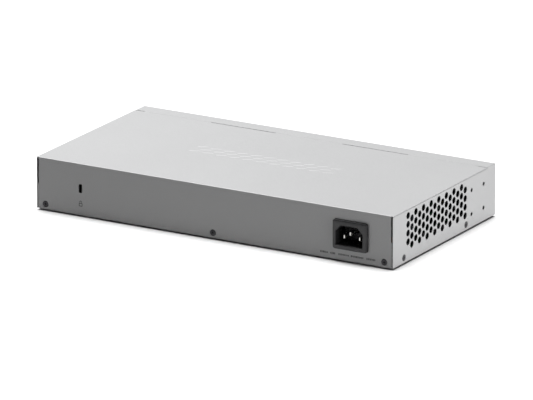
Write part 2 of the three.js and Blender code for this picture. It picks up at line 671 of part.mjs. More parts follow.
const tabY = PIN_BACK - 2 * WIRE_GAP;
const padZ = ON_BOARD + WIRE_GAP;
const wires = {
  line_wire: {
    route: [[inletPins.inlet_pin_line.x, tabY, inletPins.inlet_pin_line.z], [-117.4, tabY - 5, 19.7],
      [-112, FRONT + 142, 15], [-112, FRONT + 141, padZ]],
    radius: WIRE_R,
    material: redWire,
  },
  neutral_wire: {
    route: [[inletPins.inlet_pin_neutral.x, tabY, inletPins.inlet_pin_neutral.z], [-132.4, tabY - 5, 19.7],
      [-128, FRONT + 142, 15], [-128, FRONT + 141, padZ]],
    radius: WIRE_R,
    material: blueWire,
  },
  earth_wire: {
    route: [[inletPins.inlet_pin_earth.x, tabY, inletPins.inlet_pin_earth.z], [-123.4, tabY - 6, 27.7],
      [-97, FRONT + 140, 26], [-97, FRONT + 139, ON_BOARD + 2.9]],
    radius: WIRE_R,
    material: greenWire,
  },
  dc_harness: {
    route: [[-50, FRONT + 113, padZ], [-50, FRONT + 112, 17], [-44, FRONT + 100, 19],
      [-38, FRONT + 86, 17], [-38, FRONT + 85, padZ]],
    radius: HARNESS_R,
    material: redWire,
  },
  fan_lead: {
    route: [[FAN_CENTRE.x - FAN_THICK / 2 - 0.4, FAN_Y - 12, 20], [136, FAN_Y - 16, 18],
      [128, FRONT + 78, 17], [118, FRONT + 76, 15], [117, FRONT + 76, padZ]],
    radius: WIRE_R,
    material: whitePlastic,
  },
};
Object.entries(wires).forEach(([name, { route, radius, material }]) => {
  add(name, wire(route, radius), material);
});

export default networkSwitch;
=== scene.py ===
"""Looks of a desktop network switch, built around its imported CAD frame, for Blender 4.5.

Shapes are drawn in millimetres and turned into metres by make(). +Z is up, the ports face -Y and the
mains inlet faces +Y. Every place comes from the frame or from the named values below.
"""

import math
import random

import bmesh
import bpy
from mathutils import Matrix, Vector


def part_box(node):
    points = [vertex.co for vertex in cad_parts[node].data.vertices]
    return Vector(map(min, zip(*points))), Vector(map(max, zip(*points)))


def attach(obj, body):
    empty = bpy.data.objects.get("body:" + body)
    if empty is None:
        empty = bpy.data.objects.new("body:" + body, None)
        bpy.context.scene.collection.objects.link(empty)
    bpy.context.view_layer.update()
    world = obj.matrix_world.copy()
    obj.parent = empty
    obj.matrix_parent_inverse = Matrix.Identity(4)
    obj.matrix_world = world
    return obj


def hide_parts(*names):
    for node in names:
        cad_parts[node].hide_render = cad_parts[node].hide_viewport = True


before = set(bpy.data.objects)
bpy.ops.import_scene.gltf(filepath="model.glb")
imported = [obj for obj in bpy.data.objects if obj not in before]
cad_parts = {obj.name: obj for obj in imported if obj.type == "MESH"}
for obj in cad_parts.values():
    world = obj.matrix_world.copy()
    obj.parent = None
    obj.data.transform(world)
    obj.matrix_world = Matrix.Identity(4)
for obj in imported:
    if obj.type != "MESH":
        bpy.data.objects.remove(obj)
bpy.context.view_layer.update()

MM = 0.001
X, Y, Z = Vector((1, 0, 0)), Vector((0, 1, 0)), Vector((0, 0, 1))


def node_box(node):
    """Lowest and highest corner of a CAD node, in millimetres."""
    low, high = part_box(node)
    return low / MM, high / MM


def node_centre(node):
    low, high = node_box(node)
    return (low + high) / 2


# ------------------------------------------------------------------ sizes, in millimetres

case_low, case_high = node_box("front_frame")
PRINT = 0.03  # thickness of printed ink
SIDE, TOP, BASE = case_high.x - 0.01, case_high.z - 0.01, case_low.z
FRONT, REAR = case_low.y + 0.01 + PRINT, case_high.y

SHEET = 0.6
FOLD = 0.65  # outer radius of every fold
WALL_DROP = 0.95  # from the top down to the side walls, under the cover
FOLD_STEPS = 6
STRIP_BACK = FRONT + 14.2
SLIT = 1.0
TONGUE_GAP, TONGUE_REACH = 0.25, 8.0
LIP_HEIGHT, LIP_GAP = 1.9, 0.15
SLIT_X, SLIT_LENGTH = 61.5, 61.0
CORNER_SLIT = 9.0
REAR_GAP, REAR_SLIT, REAR_SLIT_HEIGHT = 0.25, 0.9, 22.0
EDGE = 0.1  # rounding of a cut edge

VENT_R, VENT_PITCH, VENT_COLUMNS, VENT_ROWS = 2.8, 7.22, 16, 4
VENT_FROM_REAR, VENT_TOP = 24.4, 39.0
EAR_R, EAR_SPACING, EAR_FROM_REAR, EAR_HEIGHT = 1.65, 20.1, 138.95, 22.45
SCREW_HOLE_R = 2.85
LOCK_X, LOCK_HEIGHT, LOCK_SIZE = 123.4, 23.8, (3.2, 7.4)

MARK_CENTRE, MARK_SIZE = (0.5, REAR - 83.5), (136.0, 13.0)
MARK_COLUMNS, MARK_ROWS, MARK_STEPS = 11, 3, 5
MARK_DASH, MARK_SLANT, MARK_WIDTH, MARK_DEPTH = 6.8, 3.0, 2.8, 0.17

INLET_CAVITY, INLET_CHAMFER, INLET_DEPTH = (24.4, 16.0), 4.8, 16.5
INLET_DROP, INLET_SHIFT = 0.4, 0.7
PORT_PITCH, PORT_COLUMNS, PORT_ROW = 13.97, 4, 6.4
PORT_HALF, PORT_FLOOR, PORT_ROOF = 5.85, 4.7, 2.2
LATCH_STEPS = ((3.1, 3.9), (1.7, 5.0))
PORT_LAP = 0.15
PORT_ROOM = 0.8  # the panel's window is this much wider and higher than the port block


# ------------------------------------------------------------------ materials


class Nodes:
    """A material's node tree, with short calls to add and join nodes."""

    def __init__(self, name):
        self.material = bpy.data.materials.new(name)
        self.material.use_nodes = True
        self.tree = self.material.node_tree
        self.shader = self.tree.nodes["Principled BSDF"]

    def add(self, kind, **inputs):
        node = self.tree.nodes.new(kind)
        for key, value in inputs.items():
            socket = node.inputs[key.replace("_", " ")]
            if isinstance(value, bpy.types.NodeSocket):
                self.tree.links.new(value, socket)
            else:
                socket.default_value = value
        return node

    def where(self):
        return self.tree.nodes.new("ShaderNodeTexCoord").outputs["Object"]

    def noise(self, size_mm, detail=2.0, roughness=0.5, stretch=None):
        """Noise whose features are about size_mm across."""
        place = self.where()
        if stretch:
            place = self.add("ShaderNodeMapping", Vector=place, Scale=stretch).outputs["Vector"]
        return self.add(
            "ShaderNodeTexNoise", Vector=place, Scale=1 / (size_mm * MM), Detail=detail, Roughness=roughness
        ).outputs["Fac"]

    def ramp(self, factor, low, high, start, end):
        """A colour or grey that runs from low to high while factor goes from start to end."""
        node = self.add("ShaderNodeMapRange", Value=factor)
        node.inputs["From Min"].default_value = start
        node.inputs["From Max"].default_value = end
        if isinstance(low, (int, float)):
            node.inputs["To Min"].default_value = low
            node.inputs["To Max"].default_value = high
            return node.outputs["Result"]
        mix = self.tree.nodes.new("ShaderNodeMix")
        mix.data_type = "RGBA"
        self.tree.links.new(node.outputs["Result"], mix.inputs["Factor"])
        mix.inputs["A"].default_value = (*low, 1)
        mix.inputs["B"].default_value = (*high, 1)
        return mix.outputs["Result"]

    def bump(self, height, depth_mm, strength=1.0, normal=None):
        node = self.add("ShaderNodeBump", Height=height, Distance=depth_mm * MM, Strength=strength)
        if normal is not None:
            self.tree.links.new(normal, node.inputs["Normal"])
        self.tree.links.new(node.outputs["Normal"], self.shader.inputs["Normal"])
        return node.outputs["Normal"]

    def drive(self, socket, output):
        self.tree.links.new(output, self.shader.inputs[socket])

    def set(self, **values):
        for key, value in values.items():
            self.shader.inputs[key.replace("_", " ")].default_value = value


def tint(color, factor):
    return tuple(min(1.0, c * factor) for c in color)


def surface(
    name,
    color,
    roughness,
    metallic=0.0,
    grain=0.4,
    grain_depth=0.01,
    mottle=0.05,
    patch=18.0,
    coat=0.0,
    specular=0.5,
):
    """A plain moulded, painted or plated finish: fine grain in the bump, slow patches in colour and gloss."""
    n = Nodes(name)
    slow = n.noise(patch, detail=3.0)
    n.drive("Base Color", n.ramp(slow, tint(color, 1 - mottle), tint(color, 1 + mottle), 0.3, 0.7))
    n.drive("Roughness", n.ramp(slow, roughness * 0.92, roughness * 1.08, 0.3, 0.7))
    n.set(Metallic=metallic, Coat_Weight=coat, Specular_IOR_Level=specular)
    n.bump(n.noise(grain, detail=1.0), grain_depth)
    return n.material


def case_paint():
    """Silver-grey powder coat: fine orange peel under a finer speckle."""
    n = Nodes("case_paint")
    speckle = n.noise(0.35, detail=1.0)
    slow = n.noise(60.0, detail=2.0)
    base = n.ramp(speckle, (0.53, 0.532, 0.536), (0.59, 0.592, 0.596), 0.35, 0.65)
    tone = n.ramp(slow, (0.985, 0.985, 0.985), (1.0, 1.0, 1.0), 0.35, 0.65)
    mix = n.tree.nodes.new("ShaderNodeMix")
    mix.data_type = "RGBA"
    mix.blend_type = "MULTIPLY"
    mix.inputs["Factor"].default_value = 1.0
    n.tree.links.new(base, mix.inputs["A"])
    n.tree.links.new(tone, mix.inputs["B"])
    n.drive("Base Color", mix.outputs["Result"])
    n.drive("Roughness", n.ramp(speckle, 0.42, 0.54, 0.3, 0.7))
    n.set(Metallic=0.2, Specular_IOR_Level=0.5)
    peel = n.bump(n.noise(1.1, detail=2.0), 0.02, 0.5)
    n.bump(speckle, 0.006, 0.8, peel)
    return n.material


def circuit_board():
    """Green solder mask over copper tracks, with tinned pads showing through."""
    n = Nodes("circuit_board")
    place = n.where()
    brick = n.add("ShaderNodeTexBrick", Vector=place, Scale=1 / (9 * MM), Mortar_Size=0.012)
    brick.inputs["Brick Width"].default_value = 0.61
    brick.inputs["Row Height"].default_value = 0.17
    tracks = n.ramp(brick.outputs["Fac"], 0.0, 1.0, 0.2, 0.8)
    cells = n.add("ShaderNodeTexVoronoi", Vector=place, Scale=1 / (3.4 * MM))
    pads = n.ramp(cells.outputs["Distance"], 1.0, 0.0, 0.10, 0.13)
    mask = n.ramp(tracks, (0.012, 0.10, 0.035), (0.02, 0.17, 0.06), 0.0, 1.0)
    mix = n.tree.nodes.new("ShaderNodeMix")
    mix.data_type = "RGBA"
    n.tree.links.new(pads, mix.inputs["Factor"])
    n.tree.links.new(mask, mix.inputs["A"])
    mix.inputs["B"].default_value = (0.55, 0.5, 0.42, 1)
    n.drive("Base Color", mix.outputs["Result"])
    n.drive("Roughness", n.ramp(pads, 0.32, 0.24, 0.0, 1.0))
    n.bump(tracks, 0.03)
    return n.material


def clear_plastic():
    n = Nodes("light_pipe")
    haze = n.noise(2.0)
    n.drive("Roughness", n.ramp(haze, 0.12, 0.22, 0.3, 0.7))
    n.drive("Base Color", n.ramp(haze, (0.78, 0.84, 0.8), (0.88, 0.92, 0.9), 0.3, 0.7))
    n.set(Transmission_Weight=0.6, IOR=1.49)
    return n.material


def brushed(name, color, roughness):
    """Drawn or brushed metal: long scratches along X."""
    n = Nodes(name)
    streaks = n.noise(0.5, detail=2.0, stretch=(0.04, 1.0, 1.0))
    n.drive("Base Color", n.ramp(streaks, tint(color, 0.86), tint(color, 1.08), 0.3, 0.7))
    n.drive("Roughness", n.ramp(streaks, roughness * 0.8, roughness * 1.25, 0.3, 0.7))
    n.set(Metallic=1.0)
    n.bump(streaks, 0.01)
    return n.material


PAINT = case_paint()
DARK_SCREW = surface(
    "screw_dark", (0.055, 0.055, 0.06), 0.42, metallic=0.4, grain=0.15, mottle=0.2, patch=1.5
)
ZINC = surface("screw_zinc", (0.55, 0.55, 0.56), 0.3, metallic=1.0, grain=0.2, mottle=0.15, patch=2.0)
RUBBER = surface("foot_rubber", (0.018, 0.018, 0.018), 0.85, grain=0.25, grain_depth=0.03, mottle=0.15)
INLET_PLASTIC = surface("inlet_plastic", (0.034, 0.034, 0.036), 0.45, grain=0.3, grain_depth=0.02, mottle=0.1)
# The inlet's own black plastic again, darker: painted shade for its cavity, lower flange slopes, back and
# body.
INLET_PAINTED_SHADE = surface(
    "inlet_plastic_side", (0.012, 0.012, 0.013), 0.6, grain=0.3, grain_depth=0.02, mottle=0.1
)
PLATED_PIN = surface("pin_plating", (0.66, 0.65, 0.61), 0.28, metallic=1.0, grain=0.2, mottle=0.06, patch=2.0)
SHIELD = brushed("port_shield", (0.62, 0.61, 0.58), 0.3)
PORT_PLASTIC = surface("port_plastic", (0.018, 0.018, 0.019), 0.5, grain=0.3, grain_depth=0.02, mottle=0.12)
GOLD = surface("contact_gold", (0.9, 0.62, 0.2), 0.22, metallic=1.0, grain=0.2, mottle=0.08, patch=2.0)
BOARD = circuit_board()
CHIP = surface("chip_epoxy", (0.016, 0.016, 0.018), 0.62, grain=0.2, grain_depth=0.02, mottle=0.15, patch=6.0)
CERAMIC = surface("ceramic_chip", (0.34, 0.24, 0.15), 0.5, grain=0.2, mottle=0.1, patch=2.0)
HEAT_SINK = brushed("heatsink", (0.56, 0.57, 0.59), 0.35)
LIGHT_PIPE = clear_plastic()
BUTTON = surface("button_plastic", (0.02, 0.02, 0.021), 0.4, grain=0.2, mottle=0.1)
COPPER = surface("winding", (0.3, 0.09, 0.03), 0.4, metallic=0.6, grain=0.3, mottle=0.12, patch=3.0)
SLEEVE = surface("component_sleeve", (0.012, 0.014, 0.02), 0.6, grain=0.6, mottle=0.12, specular=0.2)
CAN_TOP = brushed("capacitor_top", (0.7, 0.7, 0.71), 0.3)
FERRITE = surface("ferrite", (0.03, 0.029, 0.028), 0.55, grain=0.3, grain_depth=0.03, mottle=0.15, patch=5.0)
TAPE = surface("insulating_tape", (0.72, 0.5, 0.05), 0.35, grain=1.2, grain_depth=0.03, mottle=0.06)
FAN_PLASTIC = surface("fan_plastic", (0.013, 0.013, 0.014), 0.4, grain=0.3, grain_depth=0.02, mottle=0.1)
INK = surface("ink", (0.13, 0.13, 0.133), 0.6, grain=0.2, mottle=0.1, patch=3.0)
WIRES = {
    "line_wire": surface("wire_brown", (0.2, 0.07, 0.025), 0.4, grain=0.5, mottle=0.08),
    "neutral_wire": surface("wire_blue", (0.03, 0.1, 0.36), 0.4, grain=0.5, mottle=0.08),
    "earth_wire": surface("wire_green", (0.1, 0.36, 0.05), 0.4, grain=0.5, mottle=0.08),
    "dc_harness": surface("wire_red", (0.45, 0.025, 0.02), 0.4, grain=0.5, mottle=0.08),
    "fan_lead": surface("wire_white", (0.7, 0.7, 0.67), 0.4, grain=0.5, mottle=0.08),
}


# ------------------------------------------------------------------ mesh tools


def make(name, bm, materials, stands_for=(), body="case", turn=None, sharp=35.0):
    """Turns a bmesh in millimetres into a piece in metres that rides on a body."""
    if turn is not None:
        bm.transform(turn)
    bmesh.ops.remove_doubles(bm, verts=bm.verts, dist=1e-4)
    bm.transform(Matrix.Scale(MM, 4))
    mesh = bpy.data.meshes.new(name)
    bm.to_mesh(mesh)
    bm.free()
    for material in materials if isinstance(materials, (list, tuple)) else [materials]:
        mesh.materials.append(material)
    mesh.shade_smooth()
    mesh.set_sharp_from_angle(angle=math.radians(sharp))
    piece = bpy.data.objects.new(name, mesh)
    bpy.context.scene.collection.objects.link(piece)
    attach(piece, body)
    if stands_for:
        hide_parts(*stands_for)
    return piece


def close(bm):
    """Turns every face of a closed mesh outwards."""
    bmesh.ops.remove_doubles(bm, verts=bm.verts, dist=1e-4)
    bmesh.ops.recalc_face_normals(bm, faces=bm.faces)
    return bm


def standing(place, out):
    """Turns a shape drawn along +Z to point along out, at a place."""
    return Matrix.Translation(place) @ Z.rotation_difference(Vector(out)).to_matrix().to_4x4()


def circle(cx, cy, r, sides=28):
    return [
        (cx + r * math.cos(2 * math.pi * i / sides), cy + r * math.sin(2 * math.pi * i / sides))
        for i in range(sides)
    ]


def rounded(cx, cy, w, h, r, steps=5):
    """A rectangle with round corners, anticlockwise."""
    points = []
    for k, (sx, sy) in enumerate(((1, 1), (-1, 1), (-1, -1), (1, -1))):
        for i in range(steps + 1):
            a = math.pi / 2 * (k + i / steps)
            points.append((cx + sx * (w / 2 - r) + r * math.cos(a), cy + sy * (h / 2 - r) + r * math.sin(a)))
    return points


def arc(steps=FOLD_STEPS):
    """Cosine and sine along a quarter turn."""
    return [(math.cos(math.pi / 2 * i / steps), math.sin(math.pi / 2 * i / steps)) for i in range(steps + 1)]


def loop(bm, place, points):
    verts = [bm.verts.new(place(u, w)) for u, w in points]
    return verts, [bm.edges.new(pair) for pair in zip(verts, verts[1:] + verts[:1])]


def panel(bm, place, outline, holes=()):
    """Fills a flat outline, less its holes. place turns its two coordinates into a point."""
    edges = [edge for points in (outline, *holes) for edge in loop(bm, place, points)[1]]
    return bmesh.ops.triangle_fill(bm, use_beauty=True, edges=edges)["geom"]


def skin(bm, rows, closed=False):
    """Quads between rows of points with as many points each."""
    verts = [[bm.verts.new(p) for p in row] for row in rows]
    for a, b in zip(verts, verts[1:]):
        count = len(a) if closed else len(a) - 1
        for i in range(count):
            j = (i + 1) % len(a)
            bm.faces.new((a[i], a[j], b[j], b[i]))


def walls(bm, place, points, depths):
    """Walls of a closed outline. place takes the outline's two coordinates and a depth."""
    skin(bm, [[place(u, w, d) for u, w in points] for d in depths], closed=True)


def lathe(bm, profile, sides=32):
    """Spins a profile of (radius, height) about Z. It may start and end on the axis."""
    rings = []
    for r, z in profile:
        if r < 1e-6:
            rings.append([bm.verts.new((0, 0, z))])
        else:
            rings.append([bm.verts.new((x, y, z)) for x, y in circle(0, 0, r, sides)])
    for a, b in zip(rings, rings[1:]):
        for i in range(sides):
            j = (i + 1) % sides
            corners = [a[i % len(a)], a[j % len(a)], b[j % len(b)], b[i % len(b)]]
            bm.faces.new(list(dict.fromkeys(corners)))
    return close(bm)


def rounded_box(bm, low, high, radius, steps=2):
    low, high = Vector(low), Vector(high)
    size = high - low
    matrix = Matrix.Translation((low + high) / 2) @ Matrix.Diagonal((*size, 1))
    verts = bmesh.ops.create_cube(bm, size=1, matrix=matrix)["verts"]
    edges = list({edge for v in verts for edge in v.link_edges})
    bmesh.ops.bevel(bm, geom=edges, offset=radius, segments=steps, profile=0.5, affect="EDGES")
    return bm


def tube(bm, points, radius, sides=10, steps=48):
    """A round wire along a smooth curve through a few points."""
    path = [Vector(p) for p in points]
    padded = [path[0] * 2 - path[1], *path, path[-1] * 2 - path[-2]]
    line = []
    for i in range(steps + 1):
        t = i / steps * (len(path) - 1)
        k = min(int(t), len(path) - 2)
        t -= k
        a, b, c, d = padded[k : k + 4]
        cubic = 2 * b + (c - a) * t + (2 * a - 5 * b + 4 * c - d) * t**2 + (3 * b - a - 3 * c + d) * t**3
        line.append(0.5 * cubic)
    rows = []
    normal = (line[1] - line[0]).orthogonal().normalized()
    for i, p in enumerate(line):
        along = (line[min(i + 1, steps)] - line[max(i - 1, 0)]).normalized()
        normal = (normal - along * normal.dot(along)).normalized()
        side = along.cross(normal)
        rows.append([p + normal * u + side * w for u, w in circle(0, 0, radius, sides)])
    skin(bm, rows, closed=True)
    for row in (rows[0], rows[-1]):
        bm.faces.new([bm.verts.new(p) for p in row])
    return close(bm)


def sheet_metal(name, bm, stands_for):
    """Gives an outer skin its thickness, inwards, and rounds its cut edges."""
    bmesh.ops.remove_doubles(bm, verts=bm.verts, dist=1e-3)
    bmesh.ops.recalc_face_normals(bm, faces=bm.faces)
    widest = max(bm.faces, key=lambda f: f.calc_area())
    centre = Vector((0, 0, (BASE + TOP) / 2))
    if widest.normal.dot(widest.calc_center_median() - centre) < 0:
        bmesh.ops.reverse_faces(bm, faces=bm.faces)
    piece = make(name, bm, PAINT, stands_for)
    thick = piece.modifiers.new("thickness", "SOLIDIFY")
    thick.thickness = SHEET * MM
    thick.offset = -1
    thick.use_even_offset = True
    edge = piece.modifiers.new("edges", "BEVEL")
    edge.width = EDGE * MM
    edge.segments = 2
    edge.limit_method = "ANGLE"
    edge.angle_limit = math.radians(60)
    edge.use_clamp_overlap = True
    piece.modifiers.new("flats", "WEIGHTED_NORMAL").keep_sharp = True
    return piece


# ------------------------------------------------------------------ case


def vent_places(side):
    """Centres of a side wall's vents. The fan's screws take the place of some at +X."""
    screws = [node_centre(f"fan_screw_{i}") for i in range(1, 5)]
    for column in range(VENT_COLUMNS):
        for row in range(VENT_ROWS):
            y = REAR - VENT_FROM_REAR - column * VENT_PITCH * math.cos(math.pi / 6)
            z = VENT_TOP - (row + column % 2 / 2) * VENT_PITCH
            nearest = min(math.hypot(y - s.y, z - s.z) for s in screws)
            if side < 0 or nearest > SCREW_HOLE_R + VENT_R + 0.3:
                yield y, z


def side_holes(side):
    holes = [circle(y, z, VENT_R) for y, z in vent_places(side)]
    for j in (-1, 1):
        for k in (-1, 1):
            y = REAR - EAR_FROM_REAR + j * EAR_SPACING / 2
            holes.append(circle(y, EAR_HEIGHT + k * EAR_SPACING / 2, EAR_R, 20))
    names = ["side_screw_1", "side_screw_2"] if side < 0 else ["side_screw_3", "side_screw_4"]
    names += [f"fan_screw_{i}" for i in range(1, 5)] if side > 0 else []
    return holes + [circle(node_centre(n).y, node_centre(n).z, SCREW_HOLE_R) for n in names]


def front_frame():
    """Front panel, side walls and the strip of the top, with round folds and closed upper corners."""
    bm = bmesh.new()
    x, fold_y, fold_z = SIDE - FOLD, FRONT + FOLD, TOP - FOLD
    windows = []
    for side in ("left", "right"):
        low, high = node_box(f"port_shield_{side}")
        mid_x, mid_z = (low.x + high.x) / 2, (low.z + high.z) / 2
        windows.append(rounded(mid_x, mid_z, high.x - low.x + PORT_ROOM, high.z - low.z + PORT_ROOM, 0.5))
    for pipe in ("power_light_pipe", "poe_light_pipe"):
        low, high = node_box(pipe)
        windows.append(circle((low.x + high.x) / 2, high.z - 1.5, 1.7, 24))
    button = node_centre("reset_button")
    windows.append(circle(button.x, button.z, 2.0, 24))
    panel(bm, lambda u, w: (u, FRONT, w), [(-x, BASE), (x, BASE), (x, fold_z), (-x, fold_z)], windows)
    panel(bm, lambda u, w: (u, w, TOP), [(-x, fold_y), (x, fold_y), (x, STRIP_BACK), (-x, STRIP_BACK)])
    skin(bm, [[(u, fold_y - FOLD * c, fold_z + FOLD * s) for u in (-x, x)] for c, s in arc()])
    for side in (-1, 1):
        outline = [(fold_y, BASE), (REAR, BASE), (REAR, TOP - WALL_DROP), (STRIP_BACK, TOP - WALL_DROP)]
        outline += [(STRIP_BACK, fold_z), (fold_y, fold_z)]
        panel(bm, lambda u, w: (side * SIDE, u, w), outline, side_holes(side))
        skin(bm, [[(side * (x + FOLD * s), fold_y - FOLD * c, z) for z in (BASE, fold_z)] for c, s in arc()])
        ends = (fold_y, STRIP_BACK)
        skin(bm, [[(side * (x + FOLD * c), y, fold_z + FOLD * s) for y in ends] for c, s in arc()])
        for i in range(FOLD_STEPS):
            band = []
            for k in (i, i + 1):
                up = math.pi / 2 * k / FOLD_STEPS
                turns = [math.pi / 2 * j / k if k else 0 for j in range(k + 1)]
                band.append([
                    bm.verts.new((
                        side * (x + FOLD * math.sin(up) * math.sin(t)),
                        fold_y - FOLD * math.sin(up) * math.cos(t),
                        fold_z + FOLD * math.cos(up),
                    ))
                    for t in turns
                ])
            inner, outer = band
            for j in range(i + 1):
                bm.faces.new((inner[j], outer[j], outer[j + 1]))
                if j < i:
                    bm.faces.new((inner[j], outer[j + 1], inner[j + 1]))
    return sheet_metal("case_front_frame", bm, ["front_frame"])


def tongue_spans():
    """Where the cover reaches the frame's strip, between its slits."""
    inner, outer = SLIT_X - SLIT_LENGTH / 2, SLIT_X + SLIT_LENGTH / 2
    return [(-SIDE + CORNER_SLIT, -outer), (-inner, inner), (outer, SIDE - CORNER_SLIT)]


def dash_rings(x, y):
    """A stamped dash: rings of points that go inwards and down from its outline, a slanted stadium."""
    half = Vector((MARK_DASH / 2, MARK_SLANT / 2))
    along = half.normalized()
    across = Vector((-along.y, along.x))
    rings = []
    for i in range(MARK_STEPS + 1):
        t = i / MARK_STEPS
        r = MARK_WIDTH / 2 * (1 - 0.97 * t)
        ring = []
        for way in (1, -1):
            for k in range(9):
                a = math.pi * (k / 8 - 0.5)
                p = Vector((x, y)) + (half + (along * math.cos(a) + across * math.sin(a)) * r) * way
                ring.append((p.x, p.y, TOP - MARK_DEPTH * (0.5 - 0.5 * math.cos(math.pi * t))))
        rings.append(ring)
    return rings


def stamped_dashes():
    """A plain pattern of short stamped dashes, staggered like bricks, where such a case is embossed."""
    pitch = MARK_SIZE[0] / MARK_COLUMNS
    for row in range(MARK_ROWS):
        y = MARK_CENTRE[1] + (row / (MARK_ROWS - 1) - 0.5) * MARK_SIZE[1]
        count = MARK_COLUMNS - row % 2
        for column in range(count):
            yield dash_rings(MARK_CENTRE[0] + (column - (count - 1) / 2) * pitch, y)


def top_cover():
    """Top and rear wall, with slits along the front between the places where it meets the strip."""
    bm = bmesh.new()
    upper, lower = SIDE - 1 - REAR_SLIT, SIDE - 1 - REAR_GAP
    slit_y, tongue_y = STRIP_BACK + SLIT, STRIP_BACK + TONGUE_GAP
    outline = [(SIDE, slit_y), (SIDE, REAR), (upper, REAR), (upper, REAR - FOLD)]
    outline += [(-upper, REAR - FOLD), (-upper, REAR), (-SIDE, REAR), (-SIDE, slit_y)]
    for a, b in tongue_spans():
        outline += [(a, slit_y), (a, tongue_y), (b, tongue_y), (b, slit_y)]
    dashes = list(stamped_dashes())
    panel(bm, lambda u, w: (u, w, TOP), outline, [[(x, y) for x, y, _ in rings[0]] for rings in dashes])
    for rings in dashes:
        skin(bm, rings, closed=True)
        bm.faces.new([bm.verts.new(p) for p in rings[-1]])
    ends = (-upper, upper)
    skin(bm, [[(u, REAR - FOLD + FOLD * s, TOP - FOLD + FOLD * c) for u in ends] for c, s in arc()])
    middle = TOP - REAR_SLIT_HEIGHT
    wall = [(upper, TOP - FOLD), (upper, middle), (lower, middle), (lower, BASE)]
    inlet = node_centre("inlet_housing")
    holes = [rounded(LOCK_X, LOCK_HEIGHT, *LOCK_SIZE, 1.0), rounded(inlet.x, inlet.z, 27.5, 20.5, 0.8)]
    for i in range(1, 4):
        screw = node_centre(f"cover_screw_{i}")
        holes.append(circle(screw.x, screw.z, SCREW_HOLE_R))
    panel(bm, lambda u, w: (u, REAR, w), wall + [(-u, w) for u, w in reversed(wall)], holes)
    return sheet_metal("case_top_cover", bm, ["top_cover"])


def tongues():
    """Plates under the cover that hold the strip down, and lips that close its side seams from inside."""
    bm = bmesh.new()
    top = TOP - SHEET - 0.05
    for side in (-1, 1):
        x = sorted((side * (SIDE - SHEET - LIP_GAP), side * (SIDE - 2 * SHEET - LIP_GAP)))
        rounded_box(bm, (x[0], STRIP_BACK + 4.5, top - LIP_HEIGHT), (x[1], REAR - 2, top), 0.12)
    for a, b in tongue_spans():
        rounded_box(bm, (a, STRIP_BACK - TONGUE_REACH, top - SHEET), (b, STRIP_BACK + 4, top), 0.12)
    return make("cover_tongues", close(bm), PAINT)


def bottom_pan():
    """Tray with round folds and open corners, seen from below between the other two sheets."""
    bm = bmesh.new()
    low, high = node_box("bottom_pan")
    x, front, rear = high.x, low.y, high.y
    ix, iy = x - FOLD, (front + FOLD, rear - FOLD)
    floor = [(-ix, iy[0]), (ix, iy[0]), (ix, iy[1]), (-ix, iy[1])]
    panel(bm, lambda u, w: (u, w, BASE), floor)
    lips = {"side": high.z, "rear": high.z - 1, "front": high.z - 4}
    for side in (-1, 1):
        rows = [[(side * (ix + FOLD * s), y, BASE + FOLD - FOLD * c) for y in iy] for c, s in arc()]
        skin(bm, rows + [[(side * x, y, lips["side"]) for y in iy]])
    for way, edge, lip in ((-1, iy[0], "front"), (1, iy[1], "rear")):
        rows = [[(u, edge + way * FOLD * s, BASE + FOLD - FOLD * c) for u in (-ix, ix)] for c, s in arc()]
        skin(bm, rows + [[(u, edge + way * FOLD, lips[lip]) for u in (-ix, ix)]])
    return sheet_metal("case_bottom_pan", bm, ["bottom_pan"])


def bosses():
    """Threaded posts pressed into the pan, one under each board screw."""
    bm = bmesh.new()
    screws = [f"{kind}_screw_{i}" for kind in ("board", "psu") for i in range(1, 5)]
    places = [node_centre(name) for name in screws] + [Vector((-100, FRONT + 138, 0))]
    top = node_box("main_board")[0].z - 0.1
    for place in places:
        post = bmesh.new()
        profile = [(1.7, top - 0.3), (2.0, top), (2.9, top), (3.2, top - 0.3)]
        profile += [(3.2, BASE + SHEET), (1.7, BASE + SHEET)]
        lathe(post, profile + profile[:1], 20)
        post.transform(Matrix.Translation((place.x, place.y, 0)))
        add_into(bm, post)
    return make("board_bosses", bm, ZINC)


def add_into(bm, other, index=0):
    """Adds one bmesh to another and gives its faces a material index."""
    mesh = bpy.data.meshes.new("part")
    other.to_mesh(mesh)
    other.free()
    first = len(bm.faces)
    bm.from_mesh(mesh)
    bpy.data.meshes.remove(mesh)
    bm.faces.ensure_lookup_table()
    for face in bm.faces[first:]:
        face.material_index = index


# ------------------------------------------------------------------ screws and feet


def cross(half, arm):
    corner = [(arm, -half), (arm, half), (half, half)]
    return [(x * c - y * s, x * s + y * c) for c, s in ((1, 0), (0, 1), (-1, 0), (0, -1)) for x, y in corner]


def screw(name, out, place, rim, material, slot, recess=(0.38, 1.5), depth=1.1):
    """A cross-recessed screw. rim is its profile from the edge of its flat face to its tip."""
    bm = bmesh.new()
    face_r, face_z = rim[0]
    panel(bm, lambda u, w: (u, w, face_z), circle(0, 0, face_r, 32), [cross(*recess)])
    half, arm = recess
    rows = [[(u, w, face_z) for u, w in cross(half, arm)]]
    rows.append([(u, w, face_z - depth) for u, w in cross(half * 0.6, arm * 0.5)])
    skin(bm, rows, closed=True)
    panel(bm, lambda u, w: (u, w, face_z - depth), cross(half * 0.6, arm * 0.5))
    lathe(bm, rim, 32)
    node = name.replace("detailed_", "")
    return make(name, close(bm), material, [node], turn=standing(place, out))


